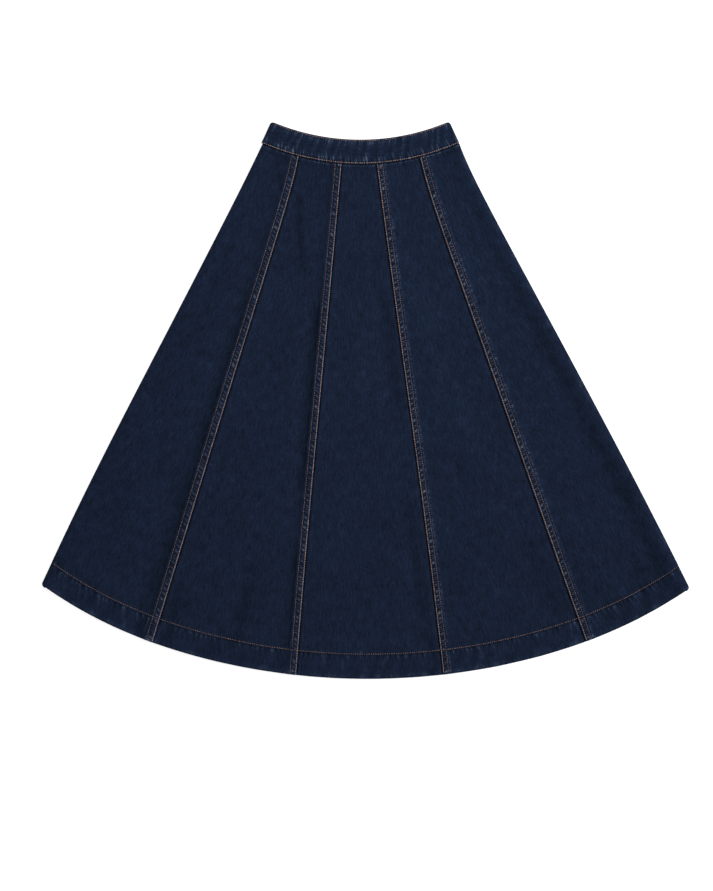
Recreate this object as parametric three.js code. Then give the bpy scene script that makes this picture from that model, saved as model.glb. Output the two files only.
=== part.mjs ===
// A gored denim midi skirt, laid flat on a table with its front upwards.
//
// Ten gores (five in front, five behind) run from the waist to a turned-up hem, and a pull-on
// waistband, one ring of folded cloth, holds them at the top. Each of the eight seams between gores
// is pressed towards the side and topstitched, so the gore further from the middle carries a raised
// strip along that seam. The two side seams are plain and lie in the side folds.
//
// Millimetres. +X is to the right as the front is seen, +Y points from the hem to the waist, and +Z
// is up, away from the table. The origin is on the table, under the middle of the skirt's box.

import * as THREE from "three";

// Cloth
const PLY = 1.1; // one layer of denim
const SEAM_GAP = 0.3; // between neighbouring pieces
const STRIP_RISE = 1.3; // the seam allowances under a topstitched strip
const STRIP_WIDTH = 12.2; // from the seam to where the allowances end
const STRIP_SLOPE = 2.5; // over which the cloth comes down beyond them
const BAND_THICKNESS = 3.2; // waistband: two plies, the elastic's place and the turned edges
const HEM_DEPTH = 38.5; // from the hem's edge to its row of stitches
const HEM_TURN_UP = HEM_DEPTH + 2; // the turned-up ply ends just above the stitches
const HEM_STEP = 3; // over which the second ply begins
const HEM_EDGE = 0.45; // share of the wall left at the very edge, where its fold is rounded

// Outline, as laid flat
const OVERALL_WIDTH = 1034;
const OVERALL_LENGTH = 891.2;
const WAIST_CENTRE_X = -8.3;
const WAIST_RADIUS = 390; // the waist seam's arc
const BAND_TOP_RADIUS = 362; // the waistband's upper edge
const BAND_HALF_TOP = 145.2;
const BAND_HALF_LOW = 158.6;
const BAND_HEIGHT = 39; // at the centre front
const BAND_CORNER = 6;
const BAND_PEAK = 0.62; // the band's highest point stands this share of the corner in from its end
const HEM_CENTRE_X = 3.8;
const HEM_RADIUS = 1072;
const HEM_CORNER_RISE = 14.3; // the hem turns up this much more at the side seams
const HEM_CORNER = 5; // radius of the hem's corners at the side folds

// The long lines of the skirt, from the left side fold to the right one. x is where a line meets the
// waist seam and the hem. Between them it swings to the right by hip below the waist and by belly
// in its lower part, or to the left where these are below 0.
const LINES = [
  { waistX: -165.2, hemX: -519.4, hip: 1.7, belly: -4.4 },
  { waistX: -106.6, hemX: -340.5, hip: 6.2, belly: 0.3 },
  { waistX: -38.1, hemX: -111.0, hip: 0, belly: -1.4 },
  { waistX: 17.6, hemX: 124.1, hip: 0, belly: 2.4 },
  { waistX: 86.7, hemX: 352.4, hip: -8.3, belly: -1.3 },
  { waistX: 150.4, hemX: 519.4, hip: -8, belly: 2.3 },
];
const HIP_START = 0.07; // share of the length over which a line swings in

// The gores between those lines. strip is the edge that carries the topstitched strip, and fold is
// the edge that turns over to the other layer.
const GORES = [
  { name: "side_gore_left", strip: "right", fold: "left" },
  { name: "gore_left", strip: "right", fold: null },
  { name: "gore_centre", strip: null, fold: null },
  { name: "gore_right", strip: "left", fold: null },
  { name: "side_gore_right", strip: "left", fold: "right" },
];

// How the front layer lies over the back one
const LAYER_GAP = 0.3; // where the layers touch
const PANEL_FLOAT = 0.4; // extra air under the middle of a gore
const FOLD_INSIDE = 0.8; // inner radius of a side fold
const RIDGE_REACH = 44; // how far a seam's height fades into the gore beside it
const WAIST_LIFT = 2.2; // the front rises to the waistband by this much
const WAIST_LIFT_REACH = 70;
const HEM_LIFT_REACH = 34; // above the turned-up ply, where the front starts to rise over it

// Shallow folds in the front, running up from the hem: which gore, how far across it, how far up they
// reach as a share of the length, how wide they are and how far they stand up (or sink).
const SOFT_FOLDS = [
  { gore: 0, across: 0.38, reach: 0.55, width: 34, height: 1.5 },
  { gore: 1, across: 0.3, reach: 0.34, width: 26, height: 1.6 },
  { gore: 1, across: 0.68, reach: 0.44, width: 30, height: 1.8 },
  { gore: 2, across: 0.32, reach: 0.6, width: 40, height: 1.0 },
  { gore: 2, across: 0.7, reach: 0.38, width: 34, height: 1.2 },
  { gore: 3, across: 0.46, reach: 0.48, width: 40, height: 1.5 },
  { gore: 4, across: 0.5, reach: 0.64, width: 32, height: 1.7 },
];

const mix = THREE.MathUtils.lerp;
const clamp = THREE.MathUtils.clamp;
const ramp = THREE.MathUtils.smoothstep; // (x, from, to): 0 before from, 1 after to

/** How far an arc of a given radius stands above its lowest point, at a distance from it. */
function arcRise(radius, distance) {
  return radius - Math.sqrt(radius * radius - distance * distance);
}

const HALF_LENGTH = OVERALL_LENGTH / 2;
const BAND_TOP_CENTRE_Y =
  HALF_LENGTH -
  arcRise(BAND_TOP_RADIUS, BAND_HALF_TOP - BAND_PEAK * BAND_CORNER) +
  arcRise(BAND_CORNER, (1 - BAND_PEAK) * BAND_CORNER);
const WAIST_CENTRE_Y = BAND_TOP_CENTRE_Y - BAND_HEIGHT;

const waistY = (x) => WAIST_CENTRE_Y + arcRise(WAIST_RADIUS, x - WAIST_CENTRE_X);
const bandTopY = (x) => BAND_TOP_CENTRE_Y + arcRise(BAND_TOP_RADIUS, x - WAIST_CENTRE_X);

/** The hem's edge: an arc that turns up further towards the side seams. */
function hemY(x) {
  const away = x - HEM_CENTRE_X;
  const corner = HEM_CORNER_RISE * ((2 * away) / OVERALL_WIDTH) ** 6;
  return -HALF_LENGTH + arcRise(HEM_RADIUS, away) + corner;
}

/** The swing of the long lines below the waist, 0 at the waist and at the hem. */
function hipSwing(v) {
  return (1 - v) ** 2 * (1 - Math.exp(-v / HIP_START));
}

/** Their swing in the lower part, also 0 at both ends and full at seven tenths of the length. */
function bellySwing(v) {
  return Math.sin(Math.PI * v * v);
}

/** The ends of the thread line that runs across a gore at a share s of its width, waist and hem. */
function threadEnds(gore, s) {
  const left = LINES[gore];
  const right = LINES[gore + 1];
  const topX = mix(left.waistX, right.waistX, s);
  const lowX = mix(left.hemX, right.hemX, s);
  return {
    top: new THREE.Vector2(topX, waistY(topX) - SEAM_GAP),
    low: new THREE.Vector2(lowX, hemY(lowX)),
    hip: mix(left.hip, right.hip, s),
    belly: mix(left.belly, right.belly, s),
  };
}

/** The point of a gore at a share s of its width and v of its length, seen from above. */
function planPoint(gore, s, v) {
  const { top, low, hip, belly } = threadEnds(gore, s);
  const swing = hip * hipSwing(v) + belly * bellySwing(v);
  return top.lerp(low, v).add(new THREE.Vector2(swing, 0));
}

/** The width of a gore at a share v of its length, and the cosine of the lean of each edge. */
function goreWidth(gore, v) {
  const left = planPoint(gore, 0, v);
  const right = planPoint(gore, 1, v);
  const lean = (s) => {
    const { top, low } = threadEnds(gore, s);
    return (top.y - low.y) / top.distanceTo(low);
  };
  return { width: right.x - left.x, leanLeft: lean(0), leanRight: lean(1) };
}

// Rows down a gore, as distances from the waist, shares of the middle stretch and distances from
// the hem's edge.
const ROWS_BELOW_WAIST = [0, 18, 40, 72];
const ROWS_BETWEEN = [0.12, 0.25, 0.38, 0.51, 0.64, 0.77, 0.89];
const ROWS_ABOVE_HEM = [74, 56, HEM_TURN_UP + HEM_STEP, HEM_TURN_UP, 20, HEM_CORNER, 2.4, 1, 0.3, 0];
const ROW_COUNT = ROWS_BELOW_WAIST.length + ROWS_BETWEEN.length + ROWS_ABOVE_HEM.length;

// Columns across a gore, as distances from a seam on its strip and shares of the stretch inside.
const STRIP_COLUMNS = [SEAM_GAP / 2, STRIP_WIDTH, STRIP_WIDTH + STRIP_SLOPE];
const INNER_COLUMNS = [0.2, 0.4, 0.6, 0.8];

/** How far a row lies below the waist, on a thread of a given length. */
function rowDistance(row, length) {
  const first = ROWS_BELOW_WAIST.at(-1);
  const last = length - ROWS_ABOVE_HEM[0];
  const between = row - ROWS_BELOW_WAIST.length;
  if (between < 0) return ROWS_BELOW_WAIST[row];
  if (between < ROWS_BETWEEN.length) return mix(first, last, ROWS_BETWEEN[between]);
  return length - ROWS_ABOVE_HEM[between - ROWS_BETWEEN.length];
}

/** A gore's wall at a distance above the hem's edge: one ply, and two where the hem is turned up. */
function plies(aboveHem) {
  return PLY * (2 - ramp(aboveHem, HEM_TURN_UP, HEM_TURN_UP + HEM_STEP));
}

/** That wall, thinned at the hem's edge to round its fold. */
function wallThickness(aboveHem) {
  const round = clamp(aboveHem / PLY, 0, 1);
  return plies(aboveHem) * mix(HEM_EDGE, 1, Math.sqrt(1 - (1 - round) ** 2));
}

/** 1 on a topstitched strip and 0 past its slope, by the distance from the seam. */
function stripShare(distance) {
  return 1 - clamp((distance - STRIP_WIDTH) / STRIP_SLOPE, 0, 1);
}

/** How far the layers are parted by one seam's strips: full over them, fading on both sides. */
function ridge(distance) {
  const past = distance < 0 ? -distance : Math.max(0, distance - STRIP_WIDTH - STRIP_SLOPE);
  return 1 - ramp(past, 2, RIDGE_REACH);
}

/** The height of the shallow folds at a point of the front. */
function softFolds(gore, s, v, width) {
  let height = 0;
  for (const fold of SOFT_FOLDS.filter((f) => f.gore === gore)) {
    const away = ((s - fold.across) * width) / fold.width;
    height += fold.height * Math.exp(-away * away) * ramp(v, 1 - fold.reach, 1);
  }
  return height;
}

/** How far the front is lifted towards the waistband, at a distance below the waist seam. */
function waistLift(belowWaist) {
  return WAIST_LIFT * (1 - ramp(belowWaist, 0, WAIST_LIFT_REACH));
}

/** Everything about one point of a gore: where it is from above, and both layers' heights there. */
function clothAt(gore, s, v, aboveHem, belowWaist) {
  const { strip, fold } = GORES[gore];
  const { width, leanLeft, leanRight } = goreWidth(gore, v);
  const fromLeft = s * width * leanLeft;
  const fromRight = (1 - s) * width * leanRight;
  const fromStrip = strip === "left" ? fromLeft : strip === "right" ? fromRight : Infinity;
  // A seam's strips lie on its outer side, so the distance from a seam is negative on the inner side.
  const onLeft = strip === "left" || fold === "left" ? fromLeft : -fromLeft;
  const onRight = strip === "right" || fold === "right" ? fromRight : -fromRight;
  const parted = 1 - (1 - ridge(onLeft)) * (1 - ridge(onRight));
  const wall = wallThickness(aboveHem);
  const overHem = PLY * (1 - ramp(aboveHem, HEM_TURN_UP + HEM_STEP, HEM_TURN_UP + HEM_LIFT_REACH));
  const air = LAYER_GAP + PANEL_FLOAT * (1 - parted) + STRIP_RISE * parted;
  const folds = softFolds(gore, s, v, width);
  return {
    point: planPoint(gore, s, v),
    wall,
    rise: STRIP_RISE * stripShare(fromStrip),
    frontLow: PLY + overHem + air + waistLift(belowWaist) + folds,
  };
}

/** Where a row's points lie across a gore, as shares of its width from left to right. */
function columnShares(gore, row, v) {
  const { strip, fold } = GORES[gore];
  const { width, leanLeft, leanRight } = goreWidth(gore, v);
  const edgeColumns = (edge, lean) => {
    if (fold === edge) return [(foldReach(row) + cornerCut(row)) / width];
    const distances = strip === edge ? STRIP_COLUMNS : [SEAM_GAP / 2];
    return distances.map((distance) => distance / (width * lean));
  };
  const left = edgeColumns("left", leanLeft);
  const right = edgeColumns("right", leanRight)
    .map((share) => 1 - share)
    .reverse();
  return [...left, ...INNER_COLUMNS.map((place) => mix(left.at(-1), right[0], place)), ...right];
}

/**
 * One row of a gore: its points across, each with the upper and lower surface of the chosen layer.
 * A side gore's outer edge turns through a quarter circle to meet the other layer's.
 */
function goreRow(gore, row, layer) {
  const { fold } = GORES[gore];
  const middle = threadEnds(gore, 0.5);
  const middleLength = middle.top.distanceTo(middle.low);
  const shares = columnShares(gore, row, rowDistance(row, middleLength) / middleLength);
  const columns = shares.map((s) => {
    const { top, low } = threadEnds(gore, s);
    const length = top.distanceTo(low);
    const down = rowDistance(row, length);
    const cloth = clothAt(gore, s, down / length, length - down, down);
    // The hem's rounded edge closes towards the middle of a front gore, and upwards in a back one.
    const lost = plies(length - down) - cloth.wall;
    const base = layer === "front" ? cloth.frontLow + lost / 2 : lost;
    return {
      lower: new THREE.Vector3(cloth.point.x, cloth.point.y, base),
      upper: new THREE.Vector3(cloth.point.x, cloth.point.y, base + cloth.wall + cloth.rise),
    };
  });
  if (fold === "left") columns.unshift(...foldColumns(columns[0], -1, row, layer).reverse());
  if (fold === "right") columns.push(...foldColumns(columns.at(-1), 1, row, layer));
  return columns;
}

/** How far a row stands above the hem's edge, or Infinity for the rows further up. */
function rowAboveHem(row) {
  return ROWS_ABOVE_HEM[row - (ROW_COUNT - ROWS_ABOVE_HEM.length)] ?? Infinity;
}

/** The full wall of a row, before the hem's edge is rounded. */
function rowWall(row) {
  return plies(rowAboveHem(row));
}

/** How far a row ends short of the side fold, at the hem's rounded corner. */
function cornerCut(row) {
  return arcRise(HEM_CORNER, Math.max(0, HEM_CORNER - rowAboveHem(row)));
}

/** The outer radius of the side fold at a row, which is half the height of the two layers there. */
function foldReach(row) {
  return rowWall(row) + FOLD_INSIDE;
}

// Where the columns of a side fold stand, as shares of its quarter circle.
const FOLD_STEPS = [0.34, 0.67, 1];

/** The points that carry a side gore's edge round its quarter circle. side is -1 left, 1 right. */
function foldColumns(last, side, row, layer) {
  const up = layer === "front";
  const half = SEAM_GAP / 2;
  const outer = foldReach(row);
  const inner = FOLD_INSIDE;
  // The outer surface is the upper one of the front and the lower one of the back.
  const outside = up ? last.upper : last.lower;
  const inside = up ? last.lower : last.upper;
  const middleZ = foldMiddle(row);
  const turn = (from, radius, share) => {
    const angle = share * Math.acos(half / radius);
    const height = Math.abs(from.z - middleZ);
    const z = middleZ + (up ? 1 : -1) * Math.max(half, height * Math.cos(angle));
    return new THREE.Vector3(from.x + side * radius * Math.sin(angle), from.y, z);
  };
  return FOLD_STEPS.map((share) => {
    const a = turn(outside, outer, share);
    const b = turn(inside, inner, share);
    return up ? { upper: a, lower: b } : { upper: b, lower: a };
  });
}

/** The height where the front and back edges of a side fold meet. */
function foldMiddle(row) {
  return rowWall(row) + FOLD_INSIDE + waistLift(ROWS_BELOW_WAIST[row] ?? Infinity) / 2;
}

/**
 * A closed wall between two grids of points, rows down and columns to the right, with its upper side
 * facing up. With wrap, the last column joins the first, and the wall is a ring.
 */
function wallGeometry(rows, wrap = false) {
  const columnCount = rows[0].length;
  const points = [];
  const faces = [];
  for (const row of rows) for (const c of row) points.push(...c.upper.toArray());
  for (const row of rows) for (const c of row) points.push(...c.lower.toArray());
  const below = rows.length * columnCount;
  const at = (r, c) => r * columnCount + (c % columnCount);
  const quad = (a, b, c, d) => faces.push(a, b, c, a, c, d);
  const steps = wrap ? columnCount : columnCount - 1;
  for (let r = 0; r + 1 < rows.length; r++) {
    for (let c = 0; c < steps; c++) {
      const corners = [at(r, c), at(r + 1, c), at(r + 1, c + 1), at(r, c + 1)];
      quad(...corners);
      quad(...corners.map((i) => i + below).reverse());
    }
  }
  const lastRow = rows.length - 1;
  for (let c = 0; c < steps; c++) {
    quad(at(0, c), at(0, c + 1), at(0, c + 1) + below, at(0, c) + below);
    quad(at(lastRow, c + 1), at(lastRow, c), at(lastRow, c) + below, at(lastRow, c + 1) + below);
  }
  if (!wrap) {
    const lastColumn = columnCount - 1;
    for (let r = 0; r < lastRow; r++) {
      quad(at(r + 1, 0), at(r, 0), at(r, 0) + below, at(r + 1, 0) + below);
      const [high, low] = [at(r, lastColumn), at(r + 1, lastColumn)];
      quad(high, low, low + below, high + below);
    }
  }
  const geometry = new THREE.BufferGeometry();
  geometry.setAttribute("position", new THREE.Float32BufferAttribute(points, 3));
  geometry.setIndex(faces);
  geometry.computeVertexNormals();
  return geometry;
}

/** One gore of one layer, as a wall of cloth. */
function goreGeometry(gore, layer) {
  const rows = Array.from({ length: ROW_COUNT }, (_, row) => goreRow(gore, row, layer));
  return wallGeometry(rows);
}

// Rows down the waistband, as distances from its upper edge in shares of its height, with the share
// of its thickness that each has: the upper edge is folded, the lower one turned in.
const BAND_ROWS = [
  { down: 0, share: 0.35 },
  { down: 0.012, share: 0.75 },
  { down: 0.04, share: 1 },
  { down: 0.5, share: 1 },
  { down: 0.97, share: 1 },
  { down: 1, share: 0.8 },
];
const BAND_COLUMNS = 22; // across one layer
const BAND_FOLD_STEPS = 6; // round each side
const BAND_CROWDING = 1.25; // above 1 the columns stand closer together near the sides

/**
 * The stations round the waistband, the same for each row: the front from left to right, the right
 * fold, the back from right to left and the left fold. x runs from -1 to 1 between the folds'
 * centres, and turn is the angle round the fold, 0 on the front and PI on the back.
 */
function bandStations() {
  const across = Array.from({ length: BAND_COLUMNS + 1 }, (_, i) => {
    const x = (2 * i) / BAND_COLUMNS - 1;
    return Math.sign(x) * (1 - (1 - Math.abs(x)) ** BAND_CROWDING);
  });
  const round = Array.from(
    { length: BAND_FOLD_STEPS - 1 },
    (_, i) => (Math.PI * (i + 1)) / BAND_FOLD_STEPS,
  );
  return [
    ...across.map((x) => ({ x, turn: 0 })),
    ...round.map((turn) => ({ x: 1, turn })),
    ...across.toReversed().map((x) => ({ x, turn: Math.PI })),
    ...round.toReversed().map((turn) => ({ x: -1, turn })),
  ];
}

/** The waistband: a flattened ring whose two layers lie on each other. */
function waistbandGeometry() {
  const middleZ = BAND_THICKNESS + LAYER_GAP / 2;
  const stations = bandStations();
  const rows = BAND_ROWS.map(({ down, share }) => {
    const half = mix(BAND_HALF_TOP, BAND_HALF_LOW, down) - middleZ;
    const lost = ((1 - share) * BAND_THICKNESS) / 2;
    const place = ({ x, turn }, radius) => {
      const outX = WAIST_CENTRE_X + x * half + Math.sign(x) * radius * Math.sin(turn);
      const edge = mix(BAND_HALF_TOP, BAND_HALF_LOW, down) - Math.abs(outX - WAIST_CENTRE_X);
      const corner = arcRise(BAND_CORNER, clamp(BAND_CORNER - edge, 0, BAND_CORNER));
      const y = mix(bandTopY(outX) - corner, waistY(outX), down);
      return new THREE.Vector3(outX, y, middleZ + radius * Math.cos(turn));
    };
    return stations.map((station) => ({
      upper: place(station, middleZ - lost),
      lower: place(station, LAYER_GAP / 2 + lost),
    }));
  });
  return wallGeometry(rows, true);
}

const denim = () =>
  new THREE.MeshStandardMaterial({ color: "#1b2437", roughness: 0.92, metalness: 0 });

const skirt = new THREE.Group();
skirt.name = "gored denim skirt";

for (const layer of ["front", "back"]) {
  const panels = new THREE.Group();
  panels.name = `${layer} layer`;
  GORES.forEach(({ name }, gore) => {
    const mesh = new THREE.Mesh(goreGeometry(gore, layer), denim());
    mesh.name = `${layer}_${name}`;
    panels.add(mesh);
  });
  skirt.add(panels);
}

const waistband = new THREE.Mesh(waistbandGeometry(), denim());
waistband.name = "waistband";
skirt.add(waistband);

export default skirt;
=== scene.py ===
# A gored denim midi skirt laid flat with its front upwards: the look of its cloth, its seams and its
# topstitching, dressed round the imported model.
import logging
import math
from dataclasses import dataclass, field, replace
from enum import Enum
from typing import NamedTuple

import bpy
import numpy as np
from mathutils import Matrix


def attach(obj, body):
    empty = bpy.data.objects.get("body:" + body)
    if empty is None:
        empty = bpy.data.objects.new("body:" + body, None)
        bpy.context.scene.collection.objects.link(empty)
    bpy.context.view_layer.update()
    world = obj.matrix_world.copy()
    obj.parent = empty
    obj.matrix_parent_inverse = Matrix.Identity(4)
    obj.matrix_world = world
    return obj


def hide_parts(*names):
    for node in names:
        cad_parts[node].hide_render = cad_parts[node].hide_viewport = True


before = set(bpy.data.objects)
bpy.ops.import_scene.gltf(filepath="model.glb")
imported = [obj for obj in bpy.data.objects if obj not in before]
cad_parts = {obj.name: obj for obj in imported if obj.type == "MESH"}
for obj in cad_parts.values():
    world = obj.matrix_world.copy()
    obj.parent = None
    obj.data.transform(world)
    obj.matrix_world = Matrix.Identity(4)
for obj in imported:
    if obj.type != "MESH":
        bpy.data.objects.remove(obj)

Array = np.ndarray
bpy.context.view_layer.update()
MM = 0.001  # every size below is in millimetres, and meshes are written in metres
log = logging.getLogger("denim skirt")

# Cloth
PLY = 1.1  # one layer of denim
SEAM_GAP = 0.3  # between the two layers' edges at the side seams
WAIST_GAP = 0.05  # between a gore's top and the waistband
STRIP_RISE = 1.3  # the seam allowances under a topstitched strip
STRIP_WIDTH = 12.2  # from the seam to where the allowances end
STRIP_SLOPE = 2.5  # over which the cloth comes down beyond them
HEM_DEPTH = 39.7  # from the hem's edge to its row of stitches
HEM_TURN_UP = 40.5  # the turned-up ply ends just above them
HEM_STEP = 3.0  # over which the second ply begins
HEM_CORNER = 5.0  # radius of the hem's corners at the side folds

# Layers
LAYER_GAP = 0.3  # between the front and the back where they touch
PANEL_FLOAT = 1.3  # extra air under the middle of a gore
TROUGH_DEPTH = 1.4  # the front lies on the back in its deepest troughs
FOLD_INSIDE = 0.8  # inner radius of a side fold
RIDGE_START = 2.0  # from a strip, where its seam's height starts to fade into the gore
RIDGE_REACH = 44.0  # and where it has faded
WAIST_LIFT = 2.2  # the front rises to the waistband by this much
WAIST_LIFT_REACH = 70.0  # below the waist seam, where it starts to rise
HEM_LIFT_REACH = 34.0  # above the turned-up ply, where the front starts to rise over it


class Layer(Enum):
    """Which layer of the skirt a gore belongs to, with the way its outer face looks."""

    FRONT = 1
    BACK = -1


class Edge(Enum):
    """What a long edge of a gore does at its seam."""

    STRIP = "lies over the allowances and carries the topstitching"
    UNDER = "passes beneath the neighbour's strip"
    FOLD = "turns over to the other layer at the side seam"


def linear(code: str) -> tuple[float, float, float, float]:
    """Turn an sRGB hex colour into linear light.

    Args:
        code: the colour as "#rrggbb".

    Returns:
        Red, green, blue and an alpha of 1.
    """
    channels = [int(code[i : i + 2], 16) / 255 for i in (1, 3, 5)]
    light = [c / 12.92 if c <= 0.04045 else ((c + 0.055) / 1.055) ** 2.4 for c in channels]
    return (light[0], light[1], light[2], 1.0)


def mix(a: Array | float, b: Array | float, share: Array | float) -> Array | float:
    """The value a share of the way from a to b."""
    return a + (b - a) * share


def ramp(x: Array | float, start: float, end: float) -> Array:
    """A smooth step, 0 before start and 1 after end: t squared times (3 - 2t)."""
    t = np.clip((x - start) / (end - start), 0.0, 1.0)
    return t * t * (3.0 - 2.0 * t)


def plateau(x: Array, marks: tuple[float, float, float, float]) -> Array:
    """0 before the first mark, 1 from the second to the third, 0 after the last, ramps between."""
    return ramp(x, marks[0], marks[1]) * (1.0 - ramp(x, marks[2], marks[3]))


def bell(x: Array | float, width: float) -> Array:
    """A bell of height 1 round 0: e to the minus (x over width) squared."""
    return np.exp(-np.square(np.asarray(x) / width))


def arc_rise(radius: float, distance: Array | float) -> Array:
    """How far an arc stands above its lowest point: r - root of (r squared - d squared)."""
    return radius - np.sqrt(np.maximum(radius * radius - np.square(distance), 0.0))


def ripple(x: Array, period: float, seed: int) -> Array:
    """An uneven wave between about -1 and 1.

    It is a sine whose phase and height drift along it, by slower sines with seeded phases.

    Args:
        x: distances along the wave.
        period: mean distance between crests.
        seed: which wave.

    Returns:
        The wave's value at each distance.
    """
    phase = np.random.default_rng(seed).uniform(0.0, 2.0 * math.pi, 4)
    turn = 2.0 * math.pi * x / period
    wander = 1.5 * np.sin(turn / 5.3 + phase[0]) + 0.9 * np.sin(turn / 2.7 + phase[1])
    height = 0.76 + 0.24 * np.sin(turn / 3.9 + phase[2])
    return height * np.sin(turn + wander + phase[3])


def drift(x: Array, y: Array, period: float, seed: int, waves: int = 7) -> Array:
    """A smooth unevenness over a plane, a sum of plane waves in seeded directions.

    Args:
        x, y: the points.
        period: mean wavelength.
        seed: which pattern.
        waves: how many waves are summed.

    Returns:
        Values mostly between -1 and 1.
    """
    rng = np.random.default_rng(seed)
    total = np.zeros(np.broadcast(x, y).shape)
    for _ in range(waves):
        angle, phase = rng.uniform(0.0, 2.0 * math.pi, 2)
        length = period * rng.uniform(0.7, 1.7)
        total += np.sin(2.0 * math.pi * (x * math.cos(angle) + y * math.sin(angle)) / length + phase)
    return total / math.sqrt(1.6 * waves)


@dataclass(frozen=True)
class Bell:
    """A soft band along an edge: its weight times a bell about its middle line."""

    middle: float
    width: float
    weight: float = 1.0

    def at(self, distance: Array) -> Array:
        """Its value at distances from the edge."""
        return self.weight * bell(distance - self.middle, self.width)


@dataclass(frozen=True)
class Slope:
    """What is strongest at an edge and dies away: its weight times e to the -d over a reach."""

    reach: float
    weight: float

    def at(self, distance: Array) -> Array:
        """Its value at distances from the edge."""
        return self.weight * np.exp(-distance / self.reach)


@dataclass(frozen=True)
class Wave:
    """An uneven wave along an edge, whose crests may lean."""

    period: float
    slant: float = 0.0  # how far a crest runs along the edge for each millimetre across
    seed: int = 0  # added to the piece's own

    def at(self, along: Array, across: Array, seed: int) -> Array:
        """Its value at distances along and across, with the piece's seed."""
        return ripple(along + self.slant * across, self.period, seed + self.seed)


@dataclass(frozen=True)
class Plan:
    """The skirt's outline as it lies, seen from above."""

    overall_width: float = 1034.0
    overall_length: float = 891.2
    waist_centre_x: float = -8.3
    waist_radius: float = 390.0
    band_top_radius: float = 362.0
    band_half_top: float = 145.2
    band_half_low: float = 158.6
    band_height: float = 39.0
    band_corner: float = 6.0
    band_peak: float = 0.62
    hem_centre_x: float = 3.8
    hem_radius: float = 1072.0
    hem_corner_rise: float = 14.3

    @property
    def band_top_centre_y(self) -> float:
        """The height of the waistband's upper edge at its middle."""
        reach = self.band_half_top - self.band_peak * self.band_corner
        corner = arc_rise(self.band_corner, (1 - self.band_peak) * self.band_corner)
        return self.overall_length / 2 - float(arc_rise(self.band_top_radius, reach) - corner)

    def waist_y(self, x: Array) -> Array:
        """The waist seam, an arc that sags at the centre front."""
        low = self.band_top_centre_y - self.band_height
        return low + arc_rise(self.waist_radius, x - self.waist_centre_x)

    def band_top_y(self, x: Array) -> Array:
        """The waistband's upper edge, a flatter arc."""
        return self.band_top_centre_y + arc_rise(self.band_top_radius, x - self.waist_centre_x)

    def hem_y(self, x: Array) -> Array:
        """The hem's edge, an arc that turns up further towards the side seams."""
        away = x - self.hem_centre_x
        corner = self.hem_corner_rise * (2 * away / self.overall_width) ** 6
        return -self.overall_length / 2 + arc_rise(self.hem_radius, away) + corner


@dataclass(frozen=True)
class Line:
    """A long line of the skirt, and how far it swings to the right between its ends.

    hip is the swing below the waist, (1 - v) squared times (1 - e to the -v over a start), and
    belly is the swing in the lower part, the sine of pi times v squared.
    """

    waist_x: float
    hem_x: float
    hip: float
    belly: float
    hip_start: float = 0.07

    def swing(self, v: Array) -> Array:
        """The swing at a share v of the length."""
        hip = (1.0 - v) ** 2 * (1.0 - np.exp(-v / self.hip_start))
        return self.hip * hip + self.belly * np.sin(math.pi * v * v)


@dataclass(frozen=True)
class Crease:
    """A soft ridge, or a trough where its height is below 0, on a straight line over a gore.

    Its section is a bell. It swells over the first quarter of its line and dies away over the
    last, and one whose line ends beyond the hem runs out over the edge.
    """

    start: tuple[float, float]  # shares of the gore's width and of its length
    end: tuple[float, float]
    width: float
    height: float
    tone: float = 0.0  # painted light along a ridge; below 0, painted shade along a trough or by a seam
    swelling: tuple[float, float, float, float] = (0.0, 0.25, 0.75, 1.0)  # shares of its line

    def shape(self, s: Array, v: Array, width: Array) -> Array:
        """Its section and its swelling together, 1 at its middle, for points of a gore."""
        along = (v - self.start[1]) / (self.end[1] - self.start[1])
        across = mix(self.start[0], self.end[0], np.clip(along, 0.0, 1.0))
        return bell((s - across) * width, self.width) * plateau(along, self.swelling)


class Cloth(NamedTuple):
    """Points of a gore: their place from above, both faces' heights, and the dye's wear with painted
    light and shade.
    """

    x: Array
    y: Array
    outer: Array
    inner: Array
    fade: Array


PLAN = Plan()
LINES = (
    Line(-165.2, -519.4, 1.7, -4.4),
    Line(-106.6, -340.5, 6.2, 0.3),
    Line(-38.1, -111.0, 0.0, -1.4),
    Line(17.6, 124.1, 0.0, 2.4),
    Line(86.7, 352.4, -8.3, -1.3),
    Line(150.4, 519.4, -8.0, 2.3),
)


def plies(above_hem: Array) -> Array:
    """The cloth's thickness above the hem's edge: two layers where it is turned up, then one."""
    return PLY * (2.0 - ramp(above_hem, HEM_TURN_UP, HEM_TURN_UP + HEM_STEP))


def ridge(distance: Array) -> Array:
    """How far a seam's height parts the layers: full over the strip, fading on both sides."""
    past = np.where(distance < 0, -distance, np.maximum(0.0, distance - STRIP_WIDTH - STRIP_SLOPE))
    return 1.0 - ramp(past, RIDGE_START, RIDGE_REACH)


def waist_lift(down: Array) -> Array:
    """How far the front rises to the waistband, by the distance below the waist seam."""
    return WAIST_LIFT * (1.0 - ramp(down, 0.0, WAIST_LIFT_REACH))


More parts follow.
